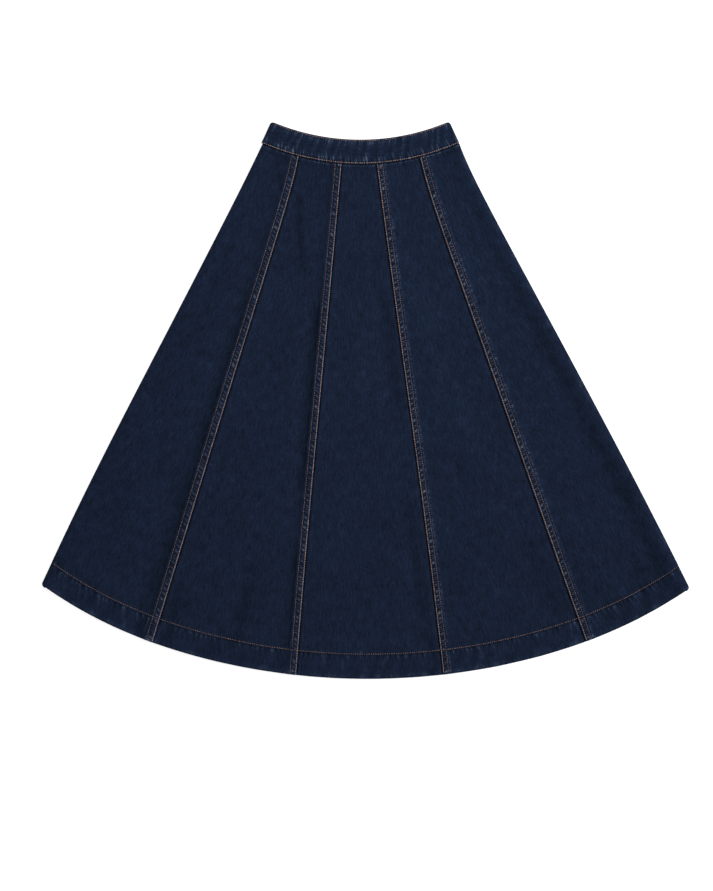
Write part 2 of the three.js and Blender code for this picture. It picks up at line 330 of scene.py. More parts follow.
@dataclass(frozen=True)
class Strip:
    """A topstitched strip: a seam's allowances, pressed under the gore that carries them.

    Each row of stitches pulls the cloth in as a bell, and its groove is painted in shade. Between
    the rows the cloth stands in slanting ropes, an uneven wave along the seam under an arch across
    it, with weaker ones past the far row: their crests are worn paler and carry painted light, and
    the hollows between them are painted in shade. The seam's edge is a rounded fold, worn paler.
    The slope past the allowances carries painted light on the strips right of the middle and
    painted shade on those left of it.
    """

    near: float  # its rows of stitches, from the seam
    far: float
    end: float  # where its allowances end: they are cut narrower where they turn to the right
    rope_rub_and_light: float  # worn and painted light on the ropes' crests
    rope_hollow_dye_and_shade: float  # unworn dye with painted shade between the ropes
    past_rub_and_light: float  # worn and painted light on the ropes past the far row
    beside: Bell  # painted light on the slope past the allowances; below 0, painted shade there
    ledge: Bell  # the rub on a ledge of the hem beside the strip

    ropes: Wave = Wave(7.2, 0.55)
    rope_swing: tuple[float, float] = (-0.55, 0.65)  # the wave's values at a rope's foot and crest
    rope_height: float = 0.7
    arch_power: float = 1.2
    past_ropes: Wave = Wave(7.2, 0.4, seed=1)
    past_place: Bell = Bell(12.0, 2.2)
    past_height: float = 0.22
    row_widths: tuple[float, float] = (1.0, 1.1)
    row_pull: float = 0.42
    # painted shade in the groove where a row pulls the cloth in
    row_painted_shade: float = 0.25
    edge_radius: float = 1.1
    edge_rub: Bell = Bell(0.5, 0.6, 0.65)
    step: float = 4.4  # past its end, over which the cloth comes down a step
    step_share: float = 0.6  # of the allowances' height; the rest comes down gently
    slope_end: float = 26.0
    firm: tuple[float, float] = (-2.0, 1.0)  # about its end, where the cloth stops being firm
    ledge_height: tuple[float, float, float, float] = (6.0, 18.0, 34.5, 37.5)  # above the hem's edge
    ledge_hollow: tuple[float, float, float] = (2.8, 1.3, 0.5)  # its distance, width and share
    end_rub: Bell = Bell(4.5, 4.0, 1.3)  # above the hem's edge, on the strip's thick end
    end_place: Bell = Bell(7.0, 4.2)  # and where that is from the seam

    def relief(self, d: Array, t: Array, seed: int) -> tuple[Array, Array]:
        """The strip's relief.

        Args:
            d: distances from the seam.
            t: distances down the seam.
            seed: which seam.

        Returns:
            The height that is added, and the dye's wear with painted light and shade.
        """
        rows = bell(d - self.near, self.row_widths[0]) + bell(d - self.far, self.row_widths[1])
        between = np.clip((d - self.near) / (self.far - self.near), 0.0, 1.0)
        arch = np.sin(math.pi * between) ** self.arch_power
        rope = ramp(self.ropes.at(t, d, seed), *self.rope_swing)
        past = self.past_place.at(d) * self.past_ropes.at(t, d, seed)
        fold = arc_rise(self.edge_radius, np.maximum(self.edge_radius - d, 0.0))
        height = self.rope_height * arch * rope - self.row_pull * rows + self.past_height * past - fold
        # The ropes' crests are worn and painted lighter; their hollows and the rows are painted in
        # shade.
        fade = arch * (self.rope_rub_and_light * rope - self.rope_hollow_dye_and_shade) - self.row_painted_shade * rows
        return height, fade + self.edge_rub.at(d) + self.past_rub_and_light * past + self.beside.at(d)

    def rise(self, d: Array) -> Array:
        """How far the allowances lift the cloth: they end at a small step and a gentle slope."""
        step = self.step_share * ramp(d, self.end, self.end + self.step)
        return STRIP_RISE * (1.0 - step - (1.0 - self.step_share) * ramp(d, self.end, self.slope_end))

    def firmness(self, d: Array) -> Array:
        """How firm the allowances make the cloth: 1 over the strip and 0 past it."""
        return 1.0 - ramp(d, self.end + self.firm[0], self.end + self.firm[1])

    def hem_wear(self, d: Array, h: Array) -> Array:
        """The fading where the strip crosses the hem: its thick end is worn, and a ledge beside it.

        Args:
            d: distances from the seam.
            h: distances above the hem's edge.

        Returns:
            The fading of the dye.
        """
        distance, width, share = self.ledge_hollow
        hollow = share * self.ledge.weight * bell(d - self.ledge.middle + distance, width)
        ledge = (self.ledge.at(d) - hollow) * plateau(h, self.ledge_height)
        return ledge + self.end_rub.at(h) * self.end_place.at(d)


@dataclass(frozen=True)
class UnderEdge:
    """The cloth beside a neighbour's strip: it dips to the seam and ripples a little, and a painted
    shadow lies against the strip.
    """

    wave: Wave = Wave(11.0)
    waved: Slope = Slope(7.0, 0.12)
    swell: Bell = Bell(4.2, 2.6, 0.2)
    dip: Slope = Slope(1.4, -0.5)
    ditch_shadow: Bell = Bell(0.0, 1.65, -1.6)  # painted shadow: the dark line against the strip
    # worn and painted light on the swell by the dip
    rub_and_light: Bell = Bell(4.6, 2.0, 0.1)

    def relief(self, d: Array, t: Array, seed: int) -> tuple[Array, Array]:
        """The height that is added and the painted shadow and light, for distances from and down seam
        number seed.
        """
        height = self.waved.at(d) * self.wave.at(t, d, seed) + self.swell.at(d) + self.dip.at(d)
        return height, self.ditch_shadow.at(d) + self.rub_and_light.at(d)


@dataclass(frozen=True)
class SideFold:
    """The side seam's fold: its allowances lie inside, so the edge stands up and then dips."""

    swell: float  # how far the allowances lift the cloth beside the fold
    rub_and_light: Bell  # its edge's painted highlight; below 0, its painted shade

    wave: Wave = Wave(21.0)
    waved: Bell = Bell(9.0, 7.0)
    wave_height: float = 0.22
    wave_rub: float = 0.06
    waist_share: float = 0.35  # of the swell at the waist
    swell_grows: tuple[float, float] = (20.0, 420.0)  # down the fold
    swell_ends: tuple[float, float] = (9.0, 28.0)  # from the fold
    # painted shade in the trough past the swell
    swell_painted_shade: Bell = Bell(19.0, 10.0, -0.1)
    dip: float = 0.7  # at the fold itself
    dip_end: float = 9.0

    def relief(self, d: Array, t: Array, seed: int) -> tuple[Array, Array]:
        """The height that is added and the painted light and shade with the waves' wear, for distances
        from and down fold number seed.
        """
        waves = self.waved.at(d) * self.wave.at(t, d, seed)
        swell = self.swell * mix(self.waist_share, 1.0, ramp(t, *self.swell_grows))
        height = self.wave_height * waves + swell * (1.0 - ramp(d, *self.swell_ends))
        height -= self.dip * (1.0 - ramp(d, 0.0, self.dip_end))
        return height, self.wave_rub * waves + swell * self.swell_painted_shade.at(d) + self.rub_and_light.at(d)


@dataclass(frozen=True)
class Hem:
    """The turned-up hem: its row pulls in, with small upright puckers mostly below it."""

    puckers: Wave = Wave(8.5, 0.2, seed=5)
    below: tuple[float, float, float, float] = (8.0, 31.0, 37.4, 38.9)  # above the hem's edge
    above: tuple[float, float, float, float] = (39.4, 40.6, 41.0, 56.0)
    below_height: float = 0.36
    above_height: float = 0.12
    pucker_rub: float = 0.5
    heads: Bell = Bell(35.2, 2.6, 0.95)  # the puckers are rubbed most under the row
    broad: Wave = Wave(36.0, -0.3, seed=9)  # the turned-up cloth lies in broader waves too
    broad_ends: tuple[float, float] = (37.0, 38.6)
    broad_height: float = 0.3
    broad_rub: float = 0.14
    row: Bell = Bell(HEM_DEPTH, 1.0)
    row_pull: float = 0.4
    # painted shade in the groove where the row pulls the cloth in
    row_painted_shade: float = 0.3
    edge_rub: Bell = Bell(4.2, 3.2, 0.22)
    thick_rub: float = 0.03  # all over the turned-up cloth
    thick_ends: tuple[float, float] = (39.0, 44.0)
    # painted shade just below the row, where it pulls the cloth in
    painted_shade_under_row: Bell = Bell(37.4, 1.2, -0.3)
    over_row: Bell = Bell(45.0, 3.0, -0.04)

    def relief(self, u: Array, h: Array, seed: int) -> tuple[Array, Array]:
        """The hem's relief.

        Args:
            u: distances across, on the hem's scale.
            h: distances above the hem's edge.
            seed: which gore.

        Returns:
            The height that is added, and the dye's wear with painted shade at the row.
        """
        below, above = plateau(h, self.below), plateau(h, self.above)
        wave = 0.5 * self.puckers.at(u, h, seed)
        row = self.row.at(h)
        broad = self.broad.at(u, h, seed) * (1.0 - ramp(h, *self.broad_ends))
        height = self.below_height * below * (wave + 0.5) + self.above_height * above * wave
        height += self.broad_height * broad - self.row_pull * row
        fade = (self.pucker_rub * (below + above) + self.heads.at(h)) * wave - self.row_painted_shade * row
        fade += self.edge_rub.at(h) + self.thick_rub * (1.0 - ramp(h, *self.thick_ends))
        fade += self.painted_shade_under_row.at(h) + self.broad_rub * broad + self.over_row.at(h)
        return height, fade


@dataclass(frozen=True)
class WaistEdge:
    """A gore's top: eased into the waistband in small gathers, with a painted shadow under the band's
    edge.
    """

    gathers: Wave = Wave(6.4, seed=7)
    gathered: Slope = Slope(9.0, 0.2)
    gather_rub: Slope = Slope(6.0, 0.45)
    dip: Slope = Slope(2.0, -0.3)
    # painted shadow under the band's edge
    ditch_shadow: Bell = Bell(0.0, 1.6, -1.3)
    # worn and painted light where the cloth rises out of its dip
    rub_and_light: Bell = Bell(3.2, 1.1, 0.5)
    shade: Bell = Bell(8.0, 4.0, -0.16)

    def relief(self, u: Array, down: Array, seed: int) -> tuple[Array, Array]:
        """The height that is added and the painted shadow and light with the gathers' wear, across gore
        number seed and down from its top.
        """
        gathers = self.gathers.at(u, down, seed)
        height = self.gathered.at(down) * gathers + self.dip.at(down)
        fade = self.gather_rub.at(down) * gathers + self.ditch_shadow.at(down)
        return height, fade + self.rub_and_light.at(down) + self.shade.at(down)


@dataclass
class Gore:
    """One gore of one layer: a long flared panel of denim."""

    name: str
    layer: Layer
    left: Line
    right: Line
    left_edge: Edge
    right_edge: Edge
    creases: tuple[Crease, ...]
    seed: int
    strip: Strip | None  # the strip it carries
    fold: SideFold | None  # the side fold it ends in
    flat: tuple[float, float]  # the cut's widest width and length, in metres
    area: float  # the cut's area, in square metres

    under: UnderEdge = UnderEdge()
    hem: Hem = Hem()
    waist: WaistEdge = WaistEdge()
    hem_share: float = 0.7  # how much of the seams' wear and painted light and shade shows on the hem's thicker cloth
    hem_share_ends: tuple[float, float] = (36.0, 44.0)
    strip_hides: float = 0.6  # how much less of the hem's and the waist's wear and painted shade a firm strip shows
    calm_end: float = 60.0  # below the waist seam, from where the cloth is fully uneven
    # The unevenness: heights, sizes and seeds.
    uneven: tuple[tuple[float, float, int], ...] = ((0.5, 62.0, 11), (0.2, 28.0, 12))
    pressed: Slope = Slope(7.0, 0.55)  # how much flatter the strips are against the waistband
    edge_inset: float = 0.06  # what is left of half the wall where the hem's edge is rounded
    back_lift: float = 0.5  # how much of the creases the back shows, lying on the table
    back_pull: float = 0.55  # how far the back's face rises at most where it is pulled in
    thinnest: float = 0.3  # share of a ply that the back's wall keeps there
    fold_painted_shade: float = -0.2  # painted shade round the side fold

    near_edge_columns: tuple[float, ...] = (  # from the seam of a strip
        0.02, 0.35, 0.8, 1.3, 2.0, 2.7, 3.6, 4.6, 5.7, 6.8, 7.8, 8.8, 9.5, 10.2, 11.0, 12.0, 13.0,
        14.0, 15.2, 17.5, 20.5, 24.0)
    under_columns: tuple[float, ...] = (0.02, 0.6, 1.4, 2.2, 3.2, 4.6, 6.4, 9.0, 12.5)
    fold_columns: tuple[float, ...] = (0.0, 3.0, 6.5, 10.5, 15.0, 20.0)  # from a side fold
    inner_columns: int = 47
    fold_steps: int = 8  # columns round a side fold
    top_rows: tuple[float, ...] = (0.0, 0.8, 1.8, 3.2, 5.0, 7.0, 9.2, 11.5, 14.0)  # below the waist
    hem_rows: tuple[float, ...] = (  # above the hem's edge
        48.0, 45.5, 43.2, 41.0, 39.6, 38.7, 38.0, 37.3, 36.4, 35.0, 33.0, 30.8, 28.5, 26.0, 23.4,
        20.8, 18.2, 15.6, 13.0, 10.4, 8.0, 5.8, 4.0, 2.6, 1.6, 0.9, 0.4, 0.1, 0.0)
    row_step: float = 2.15
    coarse: int = 4  # the hidden face has every fourth point
    pattern_step: tuple[float, float] = (1.7, 1.02)  # metres of cloth from one gore's cut to the next

    def ends(self, s: Array) -> tuple[Array, Array, Array, Array]:
        """The upper and lower end of the thread at each share s across the gore.

        Args:
            s: shares of the width, 0 on the left.

        Returns:
            x and y at the waist seam, then x and y at the hem.
        """
        top_x = mix(self.left.waist_x, self.right.waist_x, s)
        low_x = mix(self.left.hem_x, self.right.hem_x, s)
        return top_x, PLAN.waist_y(top_x) - WAIST_GAP, low_x, PLAN.hem_y(low_x)

    def length(self, s: Array) -> Array:
        """The length of the thread at each share s."""
        top_x, top_y, low_x, low_y = self.ends(s)
        return np.hypot(low_x - top_x, top_y - low_y)

    def lean(self, s: float) -> float:
        """The cosine of the lean of the thread at a share s."""
        top_x, top_y, low_x, low_y = self.ends(np.array(s))
        return float((top_y - low_y) / np.hypot(low_x - top_x, top_y - low_y))

    def width(self, v: Array) -> Array:
        """The gore's width at each share v of its length."""
        left = mix(self.left.waist_x, self.left.hem_x, v) + self.left.swing(v)
        right = mix(self.right.waist_x, self.right.hem_x, v) + self.right.swing(v)
        return right - left

    def cloth(self, s: Array, down: Array) -> Cloth:
        """The gore's cloth at shares s across it and distances down from the waist seam.

        From above, a point lies on the straight thread from the waist to the hem, plus the lines'
        swing. The front's lower face stands on the back's cloth, the allowances and the hem below
        it, with its creases and its unevenness, and the outer face is one wall above it plus the
        relief. The back's outer face lies on the table and rises only where it is pulled in.

        Args:
            s: shares of the width.
            down: distances along the threads.

        Returns:
            The cloth there.
        """
        top_x, top_y, low_x, low_y = self.ends(s)
        length = np.hypot(low_x - top_x, top_y - low_y)
        v = down / length
        h = length - down
        x = mix(top_x, low_x, v) + mix(self.left.swing(v), self.right.swing(v), s)
        y = mix(top_y, low_y, v)
        width = self.width(v)
        height, fade, rise, firm, folds = (np.zeros(x.shape) for _ in range(5))
        apart = np.ones(x.shape)
        sides = ((s * width * self.lean(0.0), self.left_edge, self.seed),
                 ((1.0 - s) * width * self.lean(1.0), self.right_edge, self.seed + 2))
        reliefs = {Edge.STRIP: self.strip, Edge.UNDER: self.under, Edge.FOLD: self.fold}
        for d, edge, seed in sides:
            # worn holds an edge's wear together with its painted light and shade.
            added, worn = reliefs[edge].relief(d, down, seed)
            height += added
            fade += worn * mix(self.hem_share, 1.0, ramp(h, *self.hem_share_ends))
            apart *= 1.0 - ridge(-d if edge is Edge.UNDER else d)
            if edge is Edge.STRIP:
                rise = self.strip.rise(d)
                firm = self.strip.firmness(d)
                fade += self.strip.hem_wear(d, h) * (1.0 - self.strip_hides * firm)
        u = s * (self.right.hem_x - self.left.hem_x)
        for added, worn in (self.hem.relief(u, h, self.seed),
                            self.waist.relief(s * width, down, self.seed)):
            height += added
            fade += worn * (1.0 - self.strip_hides * firm * (down > length / 2))
        wall = plies(h)
        for crease in self.creases:
            shape = crease.shape(s, v, width)
            folds += crease.height * shape
            # A crease's tone is painted light along a ridge and painted shade along a trough.
            fade += crease.tone * shape
        rounded = arc_rise(1.0, 1.0 - np.clip(h / PLY, 0.0, 1.0)) * (wall / 2 - self.edge_inset)
        if self.layer is Layer.FRONT:
            uneven = sum(size * (1.0 + drift(x, y, period, seed)) for size, period, seed in self.uneven)
            over_hem = PLY * (1.0 - ramp(h, HEM_TURN_UP + HEM_STEP, HEM_TURN_UP + HEM_LIFT_REACH))
            air = LAYER_GAP + PANEL_FLOAT * apart + STRIP_RISE * (1.0 - apart)
            low = PLY + over_hem + air + waist_lift(down) + ramp(down, 0.0, self.calm_end) * uneven
            low += np.maximum(folds, rise - TROUGH_DEPTH)
            outer = low + wall + rise * (1.0 - self.pressed.at(down)) + height - rounded
            return Cloth(x, y, outer, low + rounded, fade)
        lifted = np.clip(self.back_lift * folds, 0.0, None)
        outer = lifted + np.clip(-height, 0.0, self.back_pull) + rounded
        inner = lifted + wall + rise - rounded
        return Cloth(x, y, outer, np.maximum(inner, outer + self.thinnest * PLY), fade)

    def seam_share(self, side: int, d: float, down: Array) -> Array:
        """The share across at a distance d from the left seam (side -1) or the right one (side 1)."""
        s = 0.0 if side < 0 else 1.0
        share = d / (self.width(down / self.length(np.array(s))) * self.lean(s))
        return share if side < 0 else 1.0 - share

    def row_distances(self, length: float) -> Array:
        """How far each row lies below the waist seam on a thread of a given length.

        Rows stand at fixed distances near both ends and evenly between them, and the steps
        between them are a multiple of the hidden face's.

        Args:
            length: the thread's length.

        Returns:
            Distances, one for each row.
        """
        top, hem = np.array(self.top_rows), length - np.array(self.hem_rows)
        count = round(float(hem[0] - top[-1]) / self.row_step)
        count += -(len(top) + len(hem) + count - 2) % self.coarse
        return np.concatenate([top, np.linspace(top[-1], hem[0], count + 1)[1:-1], hem])

    def edge_shares(self, edge: Edge, s: float, v: Array, h: Array) -> Array:
        """Columns along one long edge, as shares of the width, a row for each row.

        Args:
            edge: what that edge does.
            s: 0 for the left edge and 1 for the right one.
            v: how far down each row lies, as a share.
            h: each row's distance above the hem's edge.

        Returns:
            Shares from the edge inwards.
        """
        across = self.width(v)[:, None] * self.lean(s)
        if edge is Edge.FOLD:
            corner = arc_rise(HEM_CORNER, np.maximum(HEM_CORNER - h, 0.0))
            reach = plies(h) + FOLD_INSIDE + corner
            return (reach[:, None] + np.array(self.fold_columns)[None, :]) / self.width(v)[:, None]
        columns = self.near_edge_columns if edge is Edge.STRIP else self.under_columns
        return np.array(columns)[None, :] / across

    def grid(self) -> tuple[Array, Array, Array, Array]:
        """The gore's points on a grid of rows down and columns across.

        Returns:
            The outer face's points, the inner face's points, the dye's wear with painted light and
            shade, and the cloth's own coordinates along its grain, each with a leading pair of axes for
            row and column.
        """
        middle = float(self.length(np.array(0.5)))
        rows = self.row_distances(middle)
        wall = plies(middle - rows)
        v = rows / middle
        left = self.edge_shares(self.left_edge, 0.0, v, middle - rows)
        right = 1.0 - self.edge_shares(self.right_edge, 1.0, v, middle - rows)[:, ::-1]
        folds = (self.left_edge is Edge.FOLD) + (self.right_edge is Edge.FOLD)
        count = self.inner_columns
        count += -(left.shape[1] + right.shape[1] + count + folds * self.fold_steps - 1) % self.coarse
        places = np.linspace(0.0, 1.0, count + 2)[None, 1:-1]
        s = np.concatenate([left, mix(left[:, -1:], right[:, :1], places), right], axis=1)
        # Near the waist every thread's rows keep from the waist, and near the hem from the hem.
        first, last = self.top_rows[-1], middle - self.hem_rows[0]
        share = np.clip((rows - first) / (last - first), 0.0, 1.0)
        down = rows[:, None] + (self.length(s) - middle) * share[:, None]
        cloth = self.cloth(s, down)
        outer = np.stack([cloth.x, cloth.y, cloth.outer], axis=-1)
        inner = np.stack([cloth.x, cloth.y, cloth.inner], axis=-1)
        fade = cloth.fade
        if folds:
            outer, inner, fade = self.turn_over(outer, inner, fade, rows, wall)
        return outer, inner, fade, self.grain(outer)

    def turn_over(self, outer: Array, inner: Array, fade: Array, rows: Array,
                  wall: Array) -> tuple[Array, Array, Array]:
        """Carry a side gore's edge round its quarter circle to the side seam.

        The angle goes from 0 to just short of a right angle, so that the two layers' edges meet a
        seam's gap apart. x grows by the radius times its sine, and z falls by its cosine.

        Args:
            outer, inner: the faces' points.
            fade: the dye's wear with painted light and shade.
            rows: distances down each row.
            wall: each row's thickness.

        Returns:
            The same three, with the fold's columns added.
        """
        on_left = self.left_edge is Edge.FOLD
        side = -1.0 if on_left else 1.0
        last = 0 if on_left else -1
        up = self.layer.value
        middle_z = (wall + FOLD_INSIDE + waist_lift(rows) / 2)[:, None]
        share = np.linspace(0.0, 1.0, self.fold_steps + 1)[None, 1:]
        half = SEAM_GAP / 2

        def carried(points: Array, radius: Array | float) -> Array:
            angle = share * np.arccos(half / radius)
            x = points[:, last, 0][:, None] + side * radius * np.sin(angle)
            y = np.broadcast_to(points[:, last, 1][:, None], x.shape)
            tall = np.abs(points[:, last, 2][:, None] - middle_z)
            z = middle_z + up * np.maximum(half, tall * np.cos(angle))
            return np.stack([x, y, z], axis=-1)

        def joined(flat: Array, turned: Array) -> Array:
            return np.concatenate([turned[:, ::-1], flat] if on_left else [flat, turned], axis=1)

        # Round the fold the colour goes over to a painted shade.
        worn = mix(fade[:, last][:, None], self.fold_painted_shade, share)
        return (joined(outer, carried(outer, (wall + FOLD_INSIDE)[:, None])),
                joined(inner, carried(inner, FOLD_INSIDE)), joined(fade, worn))

    def grain(self, points: Array) -> Array:
        """The cloth's own coordinates: the plan turned so that the warp runs along the gore.

        Args:
            points: the outer face's points.

        Returns:
            Metres across and along the warp, started at a different place for each gore.
        """
        top_x, top_y, low_x, low_y = self.ends(np.array(0.5))
        lean = math.atan2(float(low_x - top_x), float(top_y - low_y))
        across = points[..., 0] * math.cos(lean) + points[..., 1] * math.sin(lean)
        along = points[..., 1] * math.cos(lean) - points[..., 0] * math.sin(lean)
        start = np.array(self.pattern_step) * self.seed
        return np.stack([across * MM + start[0], along * MM + start[1]], axis=-1)

    def build(self, finish: bpy.types.Material) -> bpy.types.Object:
        """Make the gore's mesh and hand it to the frame.

        Args:
            finish: the denim.

        Returns:
            The gore's object.
        """
        outer, inner, fade, grain = self.grid()
        node = f"{self.layer.name.lower()}_{self.name}"
        shell = Shell(outer, inner, fade, grain, self.coarse, self.layer is Layer.BACK)
        piece = shell.build(f"cloth_{node}", finish)
        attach(piece, "root")
        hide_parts(node)
        return piece


@dataclass
class Shell:
    """A closed wall between an outer face and a coarser inner one, on grids of rows and columns."""

    outer: Array
    inner: Array
    fade: Array
    grain: Array
    coarse: int
    flipped: bool = False  # the outer face looks down
    ring: bool = False  # the last column joins the first

    @staticmethod
    def faces(numbers: Array) -> Array:
        """Two triangles for each cell of a grid of point numbers, facing up for rows going down."""
        a, b = numbers[:-1, :-1], numbers[1:, :-1]
        c, d = numbers[1:, 1:], numbers[:-1, 1:]
        return np.concatenate([np.stack([a, b, c], -1).reshape(-1, 3),
                               np.stack([a, c, d], -1).reshape(-1, 3)])

    def loops(self, numbers: Array) -> list[Array]:
        """The border of a grid as closed loops of point numbers, with the surface on their left.

        Args:
            numbers: the grid's point numbers, with the first column repeated at the end of a ring.

        Returns:
            One loop round an open grid, or two round a ring, each without its first point again.
        """
        if self.ring:
            return [numbers[0, ::-1][:-1], numbers[-1, :][:-1]]
        return [np.concatenate([numbers[:-1, 0], numbers[-1, :-1], numbers[:0:-1, -1],
                                numbers[0, :0:-1]])]

    def border(self, fine: Array, few: Array) -> Array:
        """Triangles that join a border of the outer face to the coarser one of the inner face.

        Each run of fine edges fans out from the two inner points beside it.

        Args:
            fine: the outer loop.
            few: the inner loop, one point for each run.

        Returns:
            The triangles.
        """
        k = self.coarse
        half = math.ceil(k / 2)
        step = np.arange(len(fine))
        run = step // k
        apex = few[(run + (step % k >= half)) % len(few)]
        fans = np.stack([fine[(step + 1) % len(fine)], fine, apex], -1)
        runs = np.arange(len(few))
        bridges = np.stack([few, few[(runs + 1) % len(few)], fine[(runs * k + half) % len(fine)]], -1)
        return np.concatenate([fans, bridges])

    def build(self, name: str, finish: bpy.types.Material) -> bpy.types.Object:
        """Make the closed mesh.

        Args:
            name: the object's name.
            finish: its material.

        Returns:
            The object.
        """
        k = self.coarse
        pick = np.ix_(np.arange(0, self.outer.shape[0], k), np.arange(0, self.outer.shape[1], k))
        inner = self.inner[pick]
        top = np.arange(self.outer.shape[0] * self.outer.shape[1]).reshape(self.outer.shape[:2])
        low = np.arange(inner.shape[0] * inner.shape[1]).reshape(inner.shape[:2]) + top.size
        if self.ring:
            top = np.concatenate([top, top[:, :1]], axis=1)
            low = np.concatenate([low, low[:, :1]], axis=1)
        parts = [self.faces(top), self.faces(low)[:, ::-1]]
        parts += [self.border(a, b) for a, b in zip(self.loops(top), self.loops(low), strict=True)]
        triangles = np.concatenate(parts)
        if self.flipped:
            triangles = triangles[:, ::-1]
        points = np.concatenate([self.outer.reshape(-1, 3), inner.reshape(-1, 3)])
        grain = np.concatenate([self.grain.reshape(-1, 2), self.grain[pick].reshape(-1, 2)])
        fade = np.concatenate([self.fade.ravel(), self.fade[pick].ravel()])
        return make_piece(name, points, triangles, grain, {"fade": fade}, finish)


def make_piece(name: str, points: Array, triangles: Array, uv: Array, values: dict[str, Array],
               finish: bpy.types.Material, sharp: float = 50.0) -> bpy.types.Object:
    """Put points and triangles into a new object at the origin.

    Args:
        name: the object's name.
        points: places in millimetres.
        triangles: point numbers.
        uv: each point's place in the finish's own pattern.
        values: named numbers for each point, for the finish.
        finish: the material.
        sharp: edges that turn by more than these degrees aren't smoothed.

    Returns:
        The object.
    """
    mesh = bpy.data.meshes.new(name)
    mesh.vertices.add(len(points))
    mesh.vertices.foreach_set("co", (points * MM).astype(np.float32).ravel())
    mesh.loops.add(triangles.size)
    mesh.loops.foreach_set("vertex_index", triangles.astype(np.int32).ravel())
    mesh.polygons.add(len(triangles))
    mesh.polygons.foreach_set("loop_start", np.arange(0, triangles.size, 3, dtype=np.int32))
    mesh.update(calc_edges=True)
    layer = mesh.uv_layers.new(name="cloth")
    layer.data.foreach_set("uv", uv[triangles.ravel()].astype(np.float32).ravel())
    for key, numbers in values.items():
        store = mesh.attributes.new(key, "FLOAT", "POINT")
        store.data.foreach_set("value", numbers.astype(np.float32))
    mesh.shade_smooth()
    mesh.set_sharp_from_angle(angle=math.radians(sharp))
    mesh.materials.append(finish)
    piece = bpy.data.objects.new(name, mesh)
    bpy.context.scene.collection.objects.link(piece)
    return piece


